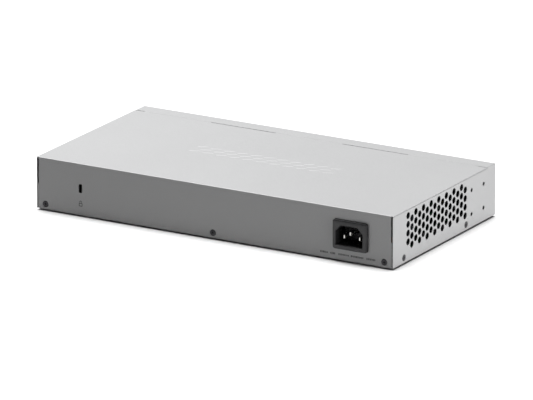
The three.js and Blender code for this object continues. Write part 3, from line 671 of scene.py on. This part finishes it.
def case_screws():
    """Countersunk screws whose faces lie just under the sheet."""
    rim = [(2.5, 0.0), (2.68, -0.1), (2.72, -0.25), (1.45, -1.4), (1.45, -5.6), (1.0, -5.9), (0, -5.9)]
    for i in range(1, 4):
        c = node_centre(f"cover_screw_{i}")
        screw(f"detailed_cover_screw_{i}", Y, (c.x, REAR - 0.12, c.z), rim, DARK_SCREW, "screw_dark")
    for i in range(1, 5):
        for kind in ("side", "fan"):
            c = node_centre(f"{kind}_screw_{i}")
            way = math.copysign(1, c.x)
            place = (way * (SIDE - 0.12), c.y, c.z)
            screw(f"detailed_{kind}_screw_{i}", X * way, place, rim, DARK_SCREW, "screw_dark")


def board_screws():
    """Pan-head screws."""
    for kind in ("board", "psu"):
        for i in range(1, 5):
            low, high = node_box(f"{kind}_screw_{i}")
            c = (low + high) / 2
            head = 1.9
            rim = [(1.7, 0), (2.2, -0.12), (2.55, -0.5), (2.7, -1.0)]
            rim += [(2.7, -head), (1.45, -head), (1.45, -7.2), (0, -7.4)]
            screw(f"detailed_{kind}_screw_{i}", Z, (c.x, c.y, high.z), rim, ZINC, "screw_zinc")


def feet():
    for i in range(1, 5):
        low, high = node_box(f"foot_{i}")
        c = (low + high) / 2
        r, h = (high.x - low.x) / 2, high.z - low.z
        bm = bmesh.new()
        profile = [(0, 0.25), (r - 2.4, 0.25), (r - 1.9, 0), (r - 0.9, 0), (r - 0.4, 0.25)]
        profile += [(r, 0.7), (r, h), (0, h)]
        lathe(bm, profile, 40)
        place = Matrix.Translation((c.x, c.y, 0))
        make(f"detailed_foot_{i}", bm, RUBBER, [f"foot_{i}"], turn=place)


# ------------------------------------------------------------------ mains inlet


def chamfered(cx, cy, w, h, chamfer, r=0.7):
    """The inlet's mouth: a rectangle with its upper corners cut off and every corner slightly round."""
    corners = [(-w / 2, -h / 2), (w / 2, -h / 2), (w / 2, h / 2 - chamfer), (w / 2 - chamfer, h / 2)]
    corners += [(-w / 2 + chamfer, h / 2), (-w / 2, h / 2 - chamfer)]
    points = []
    for i, corner in enumerate(corners):
        here = Vector(corner)
        before = (Vector(corners[i - 1]) - here).normalized() * r
        after = (Vector(corners[(i + 1) % len(corners)]) - here).normalized() * r
        for t in (0, 0.25, 0.5, 0.75, 1):
            p = here + before * (1 - t) ** 2 + after * t**2
            points.append((cx + p.x, cy + p.y))
    return points


def inlet_housing():
    """Black socket body: a flange with sloping edges, and a mouth with cut-off upper corners; its cavity and
    lower slopes get painted shade in a darker copy of its plastic.
    """
    bm = bmesh.new()
    low, high = node_box("inlet_housing")
    x, z, face = (low.x + high.x) / 2, (low.z + high.z) / 2, high.y
    w, h = high.x - low.x, high.z - low.z
    back, lip = REAR + 0.1, 0.5
    # inset, depth below the face and corner radius of each ring, from the face to the panel
    rings = [(1.5, 0.0, 1.0), (0.9, 0.12, 1.4), (0.35, 0.5, 1.8), (0.08, 0.95, 2.1), (0.0, 1.3, 2.2)]
    outer = [(rounded(x, z, w - 2 * inset, h - 2 * inset, r), face - drop) for inset, drop, r in rings]
    mouth_at = (x + INLET_SHIFT, z - INLET_DROP)
    mouth = chamfered(*mouth_at, INLET_CAVITY[0] + 2 * lip, INLET_CAVITY[1] + 2 * lip, INLET_CHAMFER + 0.3)
    cavity = chamfered(*mouth_at, *INLET_CAVITY, INLET_CHAMFER)
    body = rounded(x, z, 27, 20, 0.6)
    panel(bm, lambda u, v: (u, face, v), outer[0][0], [mouth])
    skin(bm, [[(u, y, v) for u, v in ring] for ring, y in outer[:2]], closed=True)
    skin(bm, [[(u, face, v) for u, v in mouth], [(u, face - lip, v) for u, v in cavity]], closed=True)
    # From here on the faces take the darker copy of the plastic: painted shade on the lower flange slopes,
    # the back, the body and the mouth's cavity.
    painted_shade_from = len(bm.faces)
    skin(bm, [[(u, y, v) for u, v in ring] for ring, y in outer[1:] + [(outer[-1][0], back)]], closed=True)
    panel(bm, lambda u, v: (u, back, v), outer[-1][0], [body])
    walls(bm, lambda u, v, y: (u, y, v), body, (back, low.y))
    panel(bm, lambda u, v: (u, low.y, v), body)
    walls(bm, lambda u, v, y: (u, y, v), cavity, (face - lip, face - INLET_DEPTH))
    panel(bm, lambda u, v: (u, face - INLET_DEPTH, v), cavity)
    bm.faces.ensure_lookup_table()
    for i, f in enumerate(bm.faces):
        f.material_index = 0 if i < painted_shade_from else 1
    materials = [INLET_PLASTIC, INLET_PAINTED_SHADE]
    return make("detailed_inlet_housing", close(bm), materials, ["inlet_housing"])


PIN_TIP = (1.4, 0.6)  # how far a pin's tip tapers along and across


def inlet_pins():
    """Flat pins with a rounded, tapered tip."""
    for name in ("line", "neutral", "earth"):
        low, high = node_box(f"inlet_pin_{name}")
        c, w, h = (low + high) / 2, high.x - low.x, high.z - low.z
        bm = bmesh.new()
        taper = PIN_TIP[1]
        rings = [(w, h, 0.5, low.y), (w, h, 0.5, high.y - PIN_TIP[0])]
        rings.append((w - taper, h - taper, 0.55, high.y - PIN_TIP[0] * 0.35))
        rings.append((w - 2 * taper, h - 2 * taper, 0.45, high.y))
        rows = [[(u, y, v) for u, v in rounded(c.x, c.z, a, b, r)] for a, b, r, y in rings]
        skin(bm, rows, closed=True)
        for row in (rows[0], rows[-1]):
            bm.faces.new([bm.verts.new(p) for p in row])
        piece = f"detailed_inlet_pin_{name}"
        make(piece, close(bm), PLATED_PIN, [f"inlet_pin_{name}"], sharp=50)


# ------------------------------------------------------------------ ports


def port_outline(flip, grow=0.0):
    """One socket about its row's middle, latch notch towards flip."""
    half, roof, floor = PORT_HALF + grow, PORT_ROOF + grow, -PORT_FLOOR - grow
    (w1, h1), (w2, h2) = ((w + grow, h + grow) for w, h in LATCH_STEPS)
    right = [(half, floor), (half, roof), (w1, roof), (w1, h1), (w2, h1), (w2, h2)]
    return [(x, flip * z) for x, z in right + [(-x, z) for x, z in reversed(right)]]


def port_places(low, high):
    x, z = (low.x + high.x) / 2, (low.z + high.z) / 2
    for flip in (1, -1):
        for i in range(PORT_COLUMNS):
            yield x + (i - (PORT_COLUMNS - 1) / 2) * PORT_PITCH, z + flip * PORT_ROW, flip


def port_shield(side):
    """Plated shell over a block of sockets, with a window for each."""
    bm = bmesh.new()
    low, high = node_box(f"port_shield_{side}")
    r = 0.5
    x, z = (low.x + high.x) / 2, (low.z + high.z) / 2
    w, h = high.x - low.x, high.z - low.z
    windows = []
    for px, pz, flip in port_places(low, high):
        windows.append([(px + u, pz + v) for u, v in port_outline(flip, PORT_LAP)])
    panel(bm, lambda u, v: (u, low.y, v), rounded(x, z, w - 2 * r, h - 2 * r, 0.3, 2), windows)
    rows = []
    for c, s in arc(3):
        grow = r * s
        ring = rounded(x, z, w - 2 * r + 2 * grow, h - 2 * r + 2 * grow, 0.3 + grow * 0.4, 2)
        rows.append([(u, low.y + r - r * c, v) for u, v in ring])
    rows.append([(u, high.y, v) for u, v in rounded(x, z, w, h, 0.3 + r * 0.4, 2)])
    skin(bm, rows, closed=True)
    bmesh.ops.remove_doubles(bm, verts=bm.verts, dist=1e-3)
    bmesh.ops.recalc_face_normals(bm, faces=bm.faces)
    front = min(bm.faces, key=lambda f: f.calc_center_median().y)
    if front.normal.y > 0:
        bmesh.ops.reverse_faces(bm, faces=bm.faces)
    piece = make(f"detailed_port_shield_{side}", bm, SHIELD, [f"port_shield_{side}"])
    thick = piece.modifiers.new("thickness", "SOLIDIFY")
    thick.thickness = 0.3 * MM
    thick.offset = -1


CONTACTS, CONTACT_PITCH = 8, 1.02


def port_contacts(side):
    """Gold spring contacts that slope up from each socket's floor."""
    bm = bmesh.new()
    low, high = node_box(f"port_shield_{side}")
    for px, pz, flip in port_places(low, high):
        floor = pz - flip * PORT_FLOOR
        for i in range(CONTACTS):
            x = px + (i - (CONTACTS - 1) / 2) * CONTACT_PITCH
            line = [(3.0, 0.25), (3.6, 0.75), (9.5, 3.4), (10.6, 3.6), (13.6, 3.6)]
            rows = []
            for y, up in line:
                z = floor + flip * up
                rows.append([
                    (x - 0.22, low.y + y, z - 0.12), (x + 0.22, low.y + y, z - 0.12),
                    (x + 0.22, low.y + y, z + 0.12), (x - 0.22, low.y + y, z + 0.12),
                ])
            skin(bm, rows, closed=True)
            for row in (rows[0], rows[-1]):
                bm.faces.new([bm.verts.new(p) for p in row])
    return make(f"port_contacts_{side}", close(bm), GOLD, sharp=25)


# ------------------------------------------------------------------ front controls and print


def light_pipes():
    for name in ("power_light_pipe", "poe_light_pipe"):
        low, high = node_box(name)
        x, z = (low.x + high.x) / 2, high.z - 1.5
        bm = bmesh.new()
        nose = bmesh.new()
        lathe(nose, [(0, 0.35), (0.8, 0.27), (1.25, 0.05), (1.5, -0.35), (1.5, -6.8), (0, -6.8)], 28)
        nose.transform(standing((x, FRONT + 0.36, z), -Y))
        add_into(bm, nose)
        rounded_box(bm, (x - 1.2, FRONT + 4.6, low.z), (x + 1.2, FRONT + 7, z + 1.2), 0.25)
        make(f"detailed_{name}", close(bm), LIGHT_PIPE, [name])


def reset_button():
    low, high = node_box("reset_button")
    c = (low + high) / 2
    length = high.y - low.y
    bm = bmesh.new()
    profile = [(0, -0.15), (0.9, -0.15), (1.2, 0), (1.45, -0.08), (1.6, -0.3), (1.6, -length), (0, -length)]
    lathe(bm, profile, 28)
    turn = standing((c.x, low.y, c.z), -Y)
    make(
        "detailed_reset_button", bm, BUTTON, ["reset_button"],
        body="button", turn=turn,
    )


def flat_ink(bm, outline, place, holes=(), thick=PRINT):
    """A printed mark: a very thin raised shape."""
    for depth in (0.0, thick):
        panel(bm, lambda u, v: place(u, v, depth), outline, holes)
    for points in (outline, *holes):
        walls(bm, place, points, (0.0, thick))


def on_front(u, v, d):
    return (u, FRONT - d, v)


def on_rear(u, v, d):
    return (u, REAR + d, v)


DIGIT_HEIGHT = 2.6


def port_numbers():
    """A number over or under each socket: odd ones above, even ones below."""
    bm = bmesh.new()
    number = 1
    for side in ("left", "right"):
        low, high = node_box(f"port_shield_{side}")
        places = list(port_places(low, high))
        for upper, lower in zip(places[:PORT_COLUMNS], places[PORT_COLUMNS:]):
            for (x, _, _), z in ((upper, high.z + 1.6), (lower, low.z - 1.6 - DIGIT_HEIGHT)):
                curve = bpy.data.curves.new("number", "FONT")
                curve.body = str(number)
                curve.size = DIGIT_HEIGHT / 0.7
                curve.align_x = "CENTER"
                curve.resolution_u = 3
                curve.extrude = PRINT / 2
                text = bpy.data.objects.new("number", curve)
                mesh = bpy.data.meshes.new_from_object(text)
                upright = Matrix.Rotation(math.pi / 2, 4, "X")
                mesh.transform(Matrix.Translation((x, FRONT - PRINT / 2, z)) @ upright)
                bm.from_mesh(mesh)
                bpy.data.meshes.remove(mesh)
                bpy.data.objects.remove(text)
                bpy.data.curves.remove(curve)
                number += 1
    return make("port_numbers", close(bm), INK)


def front_symbols():
    """Generic signs under the lights and the button: a ring with a bar, a bolt and a small ring."""
    bm = bmesh.new()
    power = node_centre("power_light_pipe").x
    flat_ink(bm, circle(power, 17.2, 1.3, 28), on_front, [circle(power, 17.2, 1.0, 28)])
    flat_ink(bm, rounded(power, 18.3, 0.35, 1.5, 0.12, 2), on_front)
    bolt = node_centre("poe_light_pipe").x
    zigzag = [(0.5, 1.5), (-0.75, -0.2), (-0.05, -0.2), (-0.5, -1.5), (0.75, 0.2), (0.05, 0.2)]
    flat_ink(bm, [(bolt + u, 17.3 + v) for u, v in zigzag], on_front)
    button = node_centre("reset_button")
    flat_ink(bm, circle(button.x, button.z, 3.0, 32), on_front, [circle(button.x, button.z, 2.75, 32)])
    return make("front_symbols", close(bm), INK)


LOCK_SIGN_Z = 10.3
# start and width of each group of marks, from +X
RATING_GROUPS = ((-98.7, 7.1), (-107.7, 5.4), (-115.2, 9.3), (-126.4, 11.6), (-140.6, 8.6))
RATING_Z = 6.1


def rear_print():
    """A padlock sign under the lock slot, and a line of plain bars under the inlet."""
    bm = bmesh.new()
    x, z = LOCK_X - 0.2, LOCK_SIGN_Z
    flat_ink(bm, rounded(x, z, 3.3, 2.9, 0.5, 3), on_rear, [rounded(x, z, 2.1, 1.7, 0.3, 3)])
    shackle = [(x + r * math.cos(math.pi * i / 12), z + 1.75 + 1.3 * r * math.sin(math.pi * i / 12))
               for r, steps in ((1.25, range(13)), (0.8, range(12, -1, -1))) for i in steps]
    flat_ink(bm, shackle, on_rear)
    rng = random.Random(5)
    for start, width in RATING_GROUPS:
        u = start
        while u > start - width + 0.8:
            bar = rng.uniform(0.55, 1.0)
            flat_ink(bm, rounded(u - bar / 2, RATING_Z, bar, rng.choice((1.2, 1.6, 1.6)), 0.15, 2), on_rear)
            u -= bar + 0.4
    return make("rear_print", close(bm), INK)


# ------------------------------------------------------------------ fan


def fan_rotor():
    """Hub with a rounded cap and twisted, curved blades."""
    low, high = node_box("fan_rotor")
    c = (low + high) / 2
    hub_r, blade_r, count = 10.0, 18.2, 7
    start, end = low.x, high.x
    bm = bmesh.new()
    length = end - start
    hub = [(0, 0), (hub_r - 0.2, 0), (hub_r, 0.3), (hub_r, length - 1.4), (hub_r - 0.4, length - 0.5)]
    hub += [(hub_r - 1.4, length), (3.0, length), (2.6, length - 0.3), (0, length - 0.3)]
    lathe(bm, hub, 48)
    thick = 0.9
    for k in range(count):
        turn = 2 * math.pi * k / count
        rows = []
        for i in range(9):
            r = hub_r - 0.6 + (blade_r - hub_r + 0.6) * i / 8
            pitch = math.radians(52 - 20 * i / 8)
            front, back = [], []
            for j in range(9):
                t = j / 8 - 0.5
                chord = 15.5
                along = chord * t
                camber = 1.3 * (1 - 4 * t * t)
                x = (start + end) / 2 + along * math.cos(pitch) * 0.8
                across = along * math.sin(pitch) + camber + 0.25 * (r - hub_r)
                half = thick / 2 * math.sqrt(max(0.08, 1 - (2 * t) ** 2))
                for side, store in ((-half, front), (half, back)):
                    a = turn + (across + side) / r
                    store.append((x - start, r * math.sin(a), r * math.cos(a)))
            rows.append(front + back[::-1])
        skin(bm, [[(y, z, x) for x, y, z in row] for row in rows], closed=True)
        for row in (rows[0], rows[-1]):
            bm.faces.new([bm.verts.new((y, z, x)) for x, y, z in row])
    matrix = Matrix.Translation((start, c.y, c.z)) @ Z.rotation_difference(X).to_matrix().to_4x4()
    make(
        "detailed_fan_rotor", close(bm), FAN_PLASTIC, ["fan_rotor"],
        body="rotor", turn=matrix,
    )


# ------------------------------------------------------------------ power board


def capacitors():
    for i in (1, 2):
        low, high = node_box(f"psu_capacitor_{i}")
        c, r, h = (low + high) / 2, (high.x - low.x) / 2, high.z - low.z
        bm = bmesh.new()
        sleeve = bmesh.new()
        lathe(sleeve, [(0, 0), (r - 0.4, 0), (r, 0.4), (r, 2.2), (r - 0.35, 2.8), (r, 3.4), (r, h - 0.7),
                       (r - 0.25, h - 0.15), (r - 1.3, h), (r - 1.5, h - 0.25), (0, h - 0.25)], 40)
        add_into(bm, sleeve)
        top = bmesh.new()
        lathe(top, [(0, h - 0.2), (r - 1.5, h - 0.2), (r - 1.5, h - 0.05), (0, h - 0.05)], 40)
        add_into(bm, top, 1)
        for turn in (0, math.pi / 2):
            score = bmesh.new()
            rounded_box(score, (-r + 2.4, -0.2, h - 0.1), (r - 2.4, 0.2, h), 0.05, 1)
            score.transform(Matrix.Rotation(turn, 4, "Z"))
            add_into(bm, score, 0)
        turn = Matrix.Translation((c.x, c.y, low.z))
        make(
            f"detailed_psu_capacitor_{i}", bm, [SLEEVE, CAN_TOP], [f"psu_capacitor_{i}"],
            turn=turn,
        )


def transformer():
    """Ferrite core round a wound, taped bobbin."""
    low, high = node_box("psu_transformer")
    c = (low + high) / 2
    bm = bmesh.new()
    for z in ((low.z + 2, low.z + 6), (high.z - 5, high.z - 0.2)):
        part = bmesh.new()
        rounded_box(part, (low.x, c.y - 7, z[0]), (high.x, c.y + 7, z[1]), 0.4)
        add_into(bm, part, 0)
    for side in (-1, 1):
        part = bmesh.new()
        x = sorted((c.x + side * 16, c.x + side * 11.5))
        rounded_box(part, (x[0], c.y - 7, low.z + 2), (x[1], c.y + 7, high.z - 0.2), 0.4)
        add_into(bm, part, 0)
    part = bmesh.new()
    for d in (low.z + 6.2, high.z - 5.2):
        panel(part, lambda u, v, d=d: (u, v, d), rounded(c.x, c.y, 22, 27, 6))
    walls(part, lambda u, v, d: (u, v, d), rounded(c.x, c.y, 22, 27, 6), (low.z + 6.2, high.z - 5.2))
    add_into(bm, close(part), 1)
    part = bmesh.new()
    rounded_box(part, (c.x - 13, low.y, low.z), (c.x + 13, high.y, low.z + 2), 0.3)
    add_into(bm, part, 0)
    make("detailed_psu_transformer", bm, [FERRITE, TAPE], ["psu_transformer"])


def choke():
    """Ring core with a copper winding."""
    low, high = node_box("psu_choke")
    c = (low + high) / 2
    ring, section = 7.0, (high.z - low.z) / 2
    bm = bmesh.new()
    core = bmesh.new()
    rows = []
    for i in range(40):
        a = 2 * math.pi * i / 40
        row = []
        for k in range(16):
            b = 2 * math.pi * k / 16
            r = ring + (section - 0.9) * math.cos(b)
            row.append((r * math.cos(a), r * math.sin(a), (section - 0.9) * math.sin(b)))
        rows.append(row)
    skin(core, rows + rows[:1], closed=True)
    add_into(bm, close(core), 0)
    turns = 22
    points = []
    for i in range(turns * 6):
        a = 2 * math.pi * i / (turns * 6) * 0.86
        b = 2 * math.pi * i / 6
        r = ring + (section - 0.45) * math.cos(b)
        points.append((r * math.cos(a), r * math.sin(a), (section - 0.45) * math.sin(b)))
    coil = bmesh.new()
    tube(coil, points, 0.4, 6, turns * 14)
    add_into(bm, coil, 1)
    turn = Matrix.Translation(c)
    make("detailed_psu_choke", bm, [FERRITE, COPPER], ["psu_choke"], turn=turn)


# ------------------------------------------------------------------ boards, chips and wires


def small_parts():
    """Chip resistors, capacitors and small packages soldered to the boards."""
    rng = random.Random(11)
    top = node_box("main_board")[1].z
    taken = [node_box(n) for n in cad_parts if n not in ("front_frame", "top_cover", "bottom_pan")
             and not n.endswith("_board")]
    kinds = ((1.6, 0.8, 0.7), (2.0, 1.25, 0.8), (3.2, 1.6, 0.9), (5.0, 4.0, 1.4), (7.0, 7.0, 1.0))
    groups = {"ceramic": bmesh.new(), "epoxy": bmesh.new()}
    for board in ("main_board", "psu_board"):
        low, high = node_box(board)
        for _ in range(260):
            kind = rng.choices(range(5), (6, 5, 3, 1, 0.6))[0]
            w, d, h = kinds[kind]
            if rng.random() < 0.5:
                w, d = d, w
            x, y = rng.uniform(low.x + 6, high.x - 6), rng.uniform(low.y + 6, high.y - 6)
            box = (Vector((x - w / 2, y - d / 2, top)), Vector((x + w / 2, y + d / 2, top + h)))
            free = all(
                box[1].x + 0.8 < a.x or box[0].x - 0.8 > b.x or box[1].y + 0.8 < a.y or box[0].y - 0.8 > b.y
                for a, b in taken
            )
            if free:
                taken.append(box)
                rounded_box(groups["epoxy" if kind > 2 else "ceramic"], *box, 0.12, 1)
    make("board_ceramic_chips", close(groups["ceramic"]), CERAMIC)
    make("board_small_packages", close(groups["epoxy"]), CHIP)


def chip_legs():
    """Solder legs along the edges of the magnetics packages."""
    bm = bmesh.new()
    for i in range(1, 5):
        low, high = node_box(f"magnetics_{i}")
        for side, edge in ((-1, low.y), (1, high.y)):
            for k in range(12):
                x = low.x + 2.4 + k * (high.x - low.x - 4.8) / 11
                y = sorted((edge, edge + side * 1.6))
                rounded_box(bm, (x - 0.3, y[0], low.z + 0.02), (x + 0.3, y[1], low.z + 0.35), 0.08, 1)
    return make("magnetics_legs", close(bm), ZINC)


def wire_routes():
    """Radius and route of each inner wire. They follow the CAD's, to about a tenth of a millimetre."""
    tab = {}
    for name in ("line", "neutral", "earth"):
        low, high = node_box(f"inlet_pin_{name}")
        tab[name] = (((low + high) / 2).x, low.y - 0.6, ((low + high) / 2).z)
    back = tab["line"][1]
    board = node_box("main_board")[1].z + 0.4
    fan = node_box("fan_frame")[0]
    fan_y = node_centre("fan_frame").y
    line = [tab["line"], (-117.4, back - 5, 19.7), (-112, FRONT + 142, 15), (-112, FRONT + 141, board)]
    neutral = [tab["neutral"], (-132.4, tab["neutral"][1] - 5, 19.7)]
    neutral += [(-128, FRONT + 142, 15), (-128, FRONT + 141, board)]
    earth = [tab["earth"], (-123.4, tab["earth"][1] - 6, 27.7)]
    earth += [(-97, FRONT + 140, 26), (-97, FRONT + 139, board + 2.6)]
    harness = [(-50, FRONT + 113, board), (-50, FRONT + 112, 17), (-44, FRONT + 100, 19)]
    harness += [(-38, FRONT + 86, 17), (-38, FRONT + 85, board)]
    lead = [(fan.x - 0.4, fan_y - 12, 20), (136, fan_y - 16, 18), (128, FRONT + 78, 17)]
    lead += [(118, FRONT + 76, 15), (117, FRONT + 76, board)]
    return {
        "line_wire": (1.1, line),
        "neutral_wire": (1.1, neutral),
        "earth_wire": (1.1, earth),
        "dc_harness": (2.2, harness),
        "fan_lead": (1.1, lead),
    }


def wires():
    for name, (radius, points) in wire_routes().items():
        bm = bmesh.new()
        tube(bm, points, radius, 14, 60)
        make(f"detailed_{name}", bm, WIRES[name], [name])


def dress(node, material, edge=0.15):
    """Keeps a CAD node whose shape is right: rounds its edges and gives it its material."""
    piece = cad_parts[node]
    piece.data.materials.clear()
    piece.data.materials.append(material)
    bevel = piece.modifiers.new("edges", "BEVEL")
    bevel.width = edge * MM
    bevel.segments = 2
    bevel.limit_method = "ANGLE"
    bevel.angle_limit = math.radians(40)
    piece.modifiers.new("flats", "WEIGHTED_NORMAL")


def dress_nodes():
    for side in ("left", "right"):
        dress(f"port_insert_{side}", PORT_PLASTIC, 0.12)
    for board in ("main_board", "psu_board"):
        dress(board, BOARD, 0.08)
    for node in ("switch_chip", "reset_switch", *(f"magnetics_{i}" for i in range(1, 5))):
        dress(node, CHIP, 0.25)
    for node in ("switch_heatsink", "psu_heatsink"):
        dress(node, HEAT_SINK, 0.12)
    dress("fan_frame", FAN_PLASTIC, 0.3)


# ------------------------------------------------------------------ camera, light and floor

FILL_STRENGTH, FLOOR_POWER, TOP_POWER, SIDE_POWER = 0.03, 250.0, 40.5, 2.45

CAMERA_AZIMUTH, CAMERA_ELEVATION = 210.05, 16.99
CAMERA_DISTANCE, CAMERA_LENS, CAMERA_SENSOR = 6.3958, 535.9, 36.0
AIM_RIGHT, AIM_UP = 0.00047, 0.01029  # from the point on the floor under the case's middle


def camera():
    a, e = math.radians(CAMERA_AZIMUTH), math.radians(CAMERA_ELEVATION)
    back = Vector((math.sin(a) * math.cos(e), -math.cos(a) * math.cos(e), math.sin(e)))
    right = Vector((math.cos(a), math.sin(a), 0))
    up = back.cross(right)
    target = Vector((0, (FRONT + REAR) / 2 * MM, 0)) + right * AIM_RIGHT + up * AIM_UP
    data = bpy.data.cameras.new("camera")
    data.lens = CAMERA_LENS
    data.sensor_width = CAMERA_SENSOR
    data.clip_end = 50
    eye = bpy.data.objects.new("camera", data)
    eye.location = target + back * CAMERA_DISTANCE
    eye.rotation_euler = back.to_track_quat("Z", "Y").to_euler()
    bpy.context.scene.collection.objects.link(eye)
    bpy.context.scene.camera = eye


def area_light(name, place, size, power, aim=(0, 0, 0.02)):
    data = bpy.data.lights.new(name, "AREA")
    data.shape = "RECTANGLE"
    data.size, data.size_y = size
    data.energy = power
    lamp = bpy.data.objects.new(name, data)
    lamp.location = place
    lamp.rotation_euler = (Vector(place) - Vector(aim)).to_track_quat("Z", "Y").to_euler()
    bpy.context.scene.collection.objects.link(lamp)
    return lamp


def floor():
    bpy.ops.mesh.primitive_plane_add(size=3, location=(0, 0, -0.00005))
    ground = bpy.context.object
    ground.name = "studio_floor"
    n = Nodes("studio_floor")
    n.drive("Base Color", n.ramp(n.noise(400.0), (0.93, 0.93, 0.93), (0.95, 0.95, 0.95), 0.3, 0.7))
    n.set(Roughness=0.9, Specular_IOR_Level=0.0)
    ground.data.materials.append(n.material)
    ground.visible_diffuse = False
    return ground


def aim_at(lamp, pieces, state):
    """Lights only some pieces with a lamp, or everything but them."""
    group = bpy.data.collections.new(f"{lamp.name}_receivers")
    for piece in pieces:
        group.objects.link(piece)
    for member in group.collection_objects:
        member.light_linking.link_state = state
    lamp.light_linking.receiver_collection = group


INNER_WORDS = ("psu_", "board_", "_board", "switch_", "magnetics_", "_wire", "dc_harness", "fan_lead")


def inner_pieces():
    """What lies in the dark behind the vents."""
    return [o for o in bpy.data.objects if o.type == "MESH" and any(word in o.name for word in INNER_WORDS)]


def studio(ground):
    scene = bpy.context.scene
    scene.view_settings.view_transform = "Standard"
    world = bpy.data.worlds.new("studio")
    scene.world = world
    world.use_nodes = True
    tree = world.node_tree
    fill = tree.nodes["Background"]
    fill.inputs["Color"].default_value = (1, 1, 1, 1)
    fill.inputs["Strength"].default_value = FILL_STRENGTH
    white = tree.nodes.new("ShaderNodeBackground")
    white.inputs["Strength"].default_value = 1.2
    seen = tree.nodes.new("ShaderNodeLightPath")
    mix = tree.nodes.new("ShaderNodeMixShader")
    tree.links.new(seen.outputs["Is Camera Ray"], mix.inputs["Fac"])
    tree.links.new(fill.outputs["Background"], mix.inputs[1])
    tree.links.new(white.outputs["Background"], mix.inputs[2])
    tree.links.new(mix.outputs["Shader"], tree.nodes["World Output"].inputs["Surface"])
    aim_at(area_light("floor_light", (0.3, -0.3, 3.5), (3.2, 3.0), FLOOR_POWER), [ground], "INCLUDE")
    unlit = [ground, *inner_pieces()]
    aim_at(area_light("top_light", (0.7, -0.35, 1.5), (1.3, 1.1), TOP_POWER), unlit, "EXCLUDE")
    side = area_light("side_light", (-0.62, -0.03, 0.16), (0.7, 0.2), SIDE_POWER, (-0.16, 0, 0.03))
    aim_at(side, unlit, "EXCLUDE")


# ------------------------------------------------------------------ the object

camera()
front_frame()
top_cover()
tongues()
bottom_pan()
bosses()
case_screws()
board_screws()
feet()
inlet_housing()
inlet_pins()
for block in ("left", "right"):
    port_shield(block)
    port_contacts(block)
light_pipes()
reset_button()
port_numbers()
front_symbols()
rear_print()
fan_rotor()
capacitors()
transformer()
choke()
small_parts()
chip_legs()
wires()
dress_nodes()
studio(floor())
